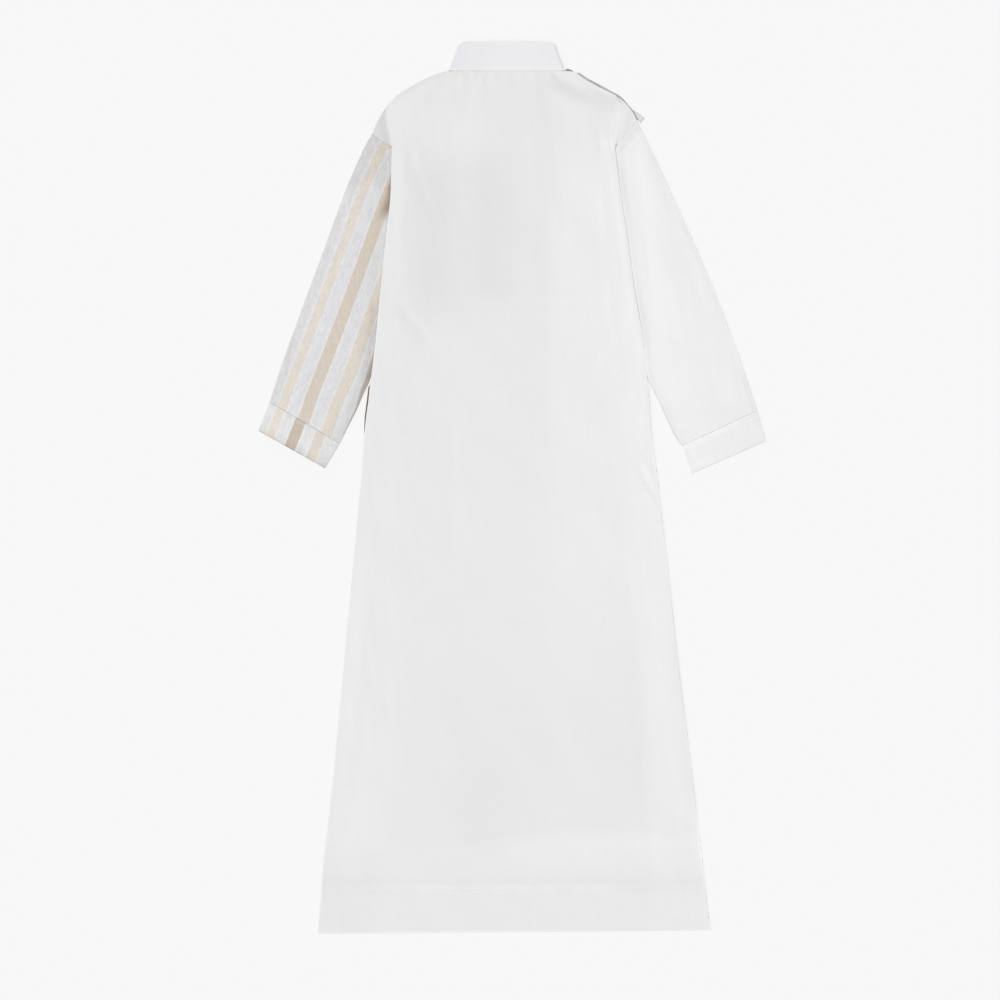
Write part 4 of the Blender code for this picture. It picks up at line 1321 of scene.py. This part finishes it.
def cuff_cloth(outer, inner, wrist, creases, stretch, shift):
    """Places and cloth of a wrist band, and what its shade is measured by."""
    lengths = [math.dist(line[-1], corner) for line, corner in zip((outer, inner), wrist)]
    depth = np.mean(lengths)
    along, deep = band_path(depth, start=CUFF_GAP, turned_in=9, rows=22)
    from_start, from_end, deep = along[:, None], (depth - along)[:, None], deep[:, None]
    edges = band_sides(outer, inner, wrist, from_start / depth)
    centre, angle = tube_columns(over=50, under=18)
    half = CUFF_HEIGHT / 2 - deep
    plan, share = tube_plan(*edges, lambda share: 0, centre, angle, half, deep)
    x, y = plan[..., 0], plan[..., 1]
    swell = CUFF_SWELL * np.sin(math.pi * np.clip(share, 0, 1)) - CUFF_SINK * ease(from_start, 5, 0)
    seams = -SEAM_DIP * (hill(from_start, SEAM_IN, 1) + hill(from_end, SEAM_IN, 1))
    relief = swell + (crease_height(x, y, creases) + seams) * (1 - deep / BAND_LAYERS)
    z = CUFF_HEIGHT / 2 + half * np.sin(angle) + relief * np.maximum(np.sin(angle), 0)
    away, down = distance_from((outer[-1], wrist[0]), x, y)[:2]
    across = LAST_STRIPE - np.abs(LAST_STRIPE - away * stretch - shift)
    across = across * np.where(angle >= 0, 1, -1)
    measures = share, from_start, from_end
    return join(x, y, z), join(across, -down), measures


places, flat, (share, from_start, from_end) = cuff_cloth(
    *LEFT_LINES, LEFT_CUFF_CREASES, LEFT_STRIPE_STRETCH, LEFT_STRIPE_SHIFT)
# Painted shade along the lower end and towards the inner fold.
shade = soft_patches((0.05, (share, 0.75, 1)), (0.26, (from_end, 1.6, 0.4)),
                     (0.12, (from_end, 12, 0)))
cuff_left = lay_cloth("striped_cuff", cuff_stripe, (places, flat, shade), wall=0.28)

places, flat, (share, from_start, from_end) = cuff_cloth(
    *RIGHT_LINES, RIGHT_CUFF_CREASES, 1, 0)
# Painted shade along the lower end and the inner fold; painted light along the outer fold, by the
# seam with the sleeve and near its start.
shade = PLAIN_TONE - 0.08 + soft_patches(
    (-0.12, (from_start, 9, 3), (share, 0.1, 0.4)),
    (0.30, (from_end, 1.4, 0.4)),
    (0.25, (share, 0.98, 1)),
    (-0.20, (share, 0.02, 0.005)),
    (-0.20, (from_start, 1.6, 0.6)))
cuff_right = lay_cloth("plain_cuff", white_cloth, (places, flat, shade), wall=0.28)

# %% [markdown]
# ## The stitching
# A row of stitches is a line of small beads of thread, each pulled slightly into the cloth. Each
# bead is a small sphere with few faces, drawn out along its row and set at the height of the cloth,
# which a ray dropped from above finds.

# %% Rows of stitches
STITCH_PITCH = 3
STITCH_SIZE = (2.3, 0.5, 0.32)
STITCH_SINK = 0.02


def top_of(piece):
    """A finder of the height of a piece's upper side at a place, in millimetres."""
    mesh = piece.data
    tree = BVHTree.FromPolygons([v.co for v in mesh.vertices], [f.vertices for f in mesh.polygons])

    def height(x, y):
        hit = tree.ray_cast(Vector((x * MM, y * MM, 0.1)), Vector((0, 0, -1)))[0]
        return None if hit is None else hit.z / MM

    return height


def sew(name, piece, *lines):
    """Rows of stitches along lines of points, on the upper side of a piece."""
    height = top_of(piece)
    form = bmesh.new()
    size = Matrix.Diagonal(Vector((*STITCH_SIZE, 2)) * 0.5)
    count = 0
    for line in lines:
        length = np.linalg.norm(np.diff(line, axis=0), axis=1).sum()
        stitches = max(2, round(length / STITCH_PITCH))
        centres = point_at(line, (np.arange(stitches) + 0.5) / stitches, curved=True)
        ends = point_at(line, np.arange(stitches + 1) / stitches, curved=True)
        for (x, y), near, far in zip(centres, ends, ends[1:]):
            z = height(x, y)
            if z is None:
                continue
            heading = math.atan2(far[1] - near[1], far[0] - near[0])
            place = Matrix.Translation(Vector((x, y, z - STITCH_SINK)) * MM)
            bmesh.ops.create_uvsphere(form, u_segments=6, v_segments=4, radius=MM,
                                      matrix=place @ Matrix.Rotation(heading, 4, "Z") @ size)
            count += 1
    print(name, count, "stitches")
    return as_piece(name, form, white_thread)


def cuff_rows(*lines):
    """Two rows on a wrist band, one along each of its edges."""
    for share in (0.09, 0.91):
        start, stop = band_sides(*lines, share)
        yield [tuple(blend(start, stop, s)) for s in np.linspace(0.03, 0.97, 8)]


stitches_hem = sew("stitches_hem", back,
                   [(x, hem_line(x, HEM_SEAM_Y)) for x in np.linspace(-226, 228, 40)])
stitches_collar = sew("stitches_collar", collar,
                      [(x, COLLAR_BASE_Y + 2.2) for x in np.linspace(-70, 57, 12)],
                      [(x, 533.6 - 2.6 * (abs(x - CENTRE_X) / 56) ** 4)
                       for x in np.linspace(-58, 45, 14)])
stitches_cuff_left = sew("stitches_cuff_left", cuff_left,
                         *cuff_rows(*LEFT_LINES))
stitches_cuff_right = sew("stitches_cuff_right", cuff_right,
                          *cuff_rows(*RIGHT_LINES))

# %% [markdown]
# ## The table top
# The thobe lies on a plain pale surface, which is staging and no part of it. Garments are often
# laid on a table that is lit from below, so that they cast hardly any shadow, and a little glow in
# the surface does the same here. It lies a hair below the cloth, so the two never share a plane.

# %% Surface
SURFACE_DEPTH = 0.35
SURFACE_SIZE = 3
GRAIN = 1 / 300
GRAIN_TONE = 0.01
GRAIN_DEPTH = 0.00001
GLOW = 0.78
paper = Finish("paper", roughness=0.9, sheen=0)
across, along = paper.object_place()
grain = paper.noise(across * (1 / GRAIN), along * (1 / GRAIN))
paper.shader.inputs["Emission Color"].default_value = (1, 1, 1, 1)
paper.shader.inputs["Emission Strength"].default_value = GLOW
lit = dye(247, 247, 247)[0] - GLOW / TABLE_BRIGHTNESS
paper_finish = paper.finish(
    paper.dim((lit,) * 3, 1 + (grain - 0.5) * GRAIN_TONE), grain, depth=GRAIN_DEPTH)
form = bmesh.new()
bmesh.ops.create_grid(form, x_segments=1, y_segments=1, size=SURFACE_SIZE,
                      matrix=Matrix.Translation((0, 0, -SURFACE_DEPTH * MM)))
surface = as_piece("surface", form, paper_finish)

# %% [markdown]
# ## Attaching the pieces
# Each piece and its stitches ride on the one body, and the solid it stands for is hidden. The
# table also gives how large each sheet of cloth was cut: the width all round where it is a tube,
# and its area where the cut is not a rectangle.

# %% Pieces and sheets
CLOTHS = (
    # piece, its node, cut width and length and area in metres, what it lies on, stitches
    (back, "back_panel", (0.50, 1.06), 0.40, ["front", "striped_sleeve", "plain_sleeve"],
     [stitches_hem]),
    (front, "front_panel", (0.48, 1.05), 0.36, [], []),
    (placket, "front_placket", (0.032, 0.238), 0.0076, ["front"], []),
    (collar, "collar", (0.27, 0.072), 0.0186, ["front"], [stitches_collar]),
    (sleeve_left, "sleeve_left", (0.40, 0.42), 0.068, [], []),
    (sleeve_right, "sleeve_right", (0.42, 0.44), 0.076, [], []),
    (cuff_left, "cuff_left", (0.20, 0.06), 0.0104, [], [stitches_cuff_left]),
    (cuff_right, "cuff_right", (0.21, 0.06), 0.0108, [], [stitches_cuff_right]),
)
for piece, node, cut, area, under, rows in CLOTHS:
    for part in (piece, *rows):
        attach(part, "root")
    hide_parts(node)
print(len(CLOTHS), "sheets declared")
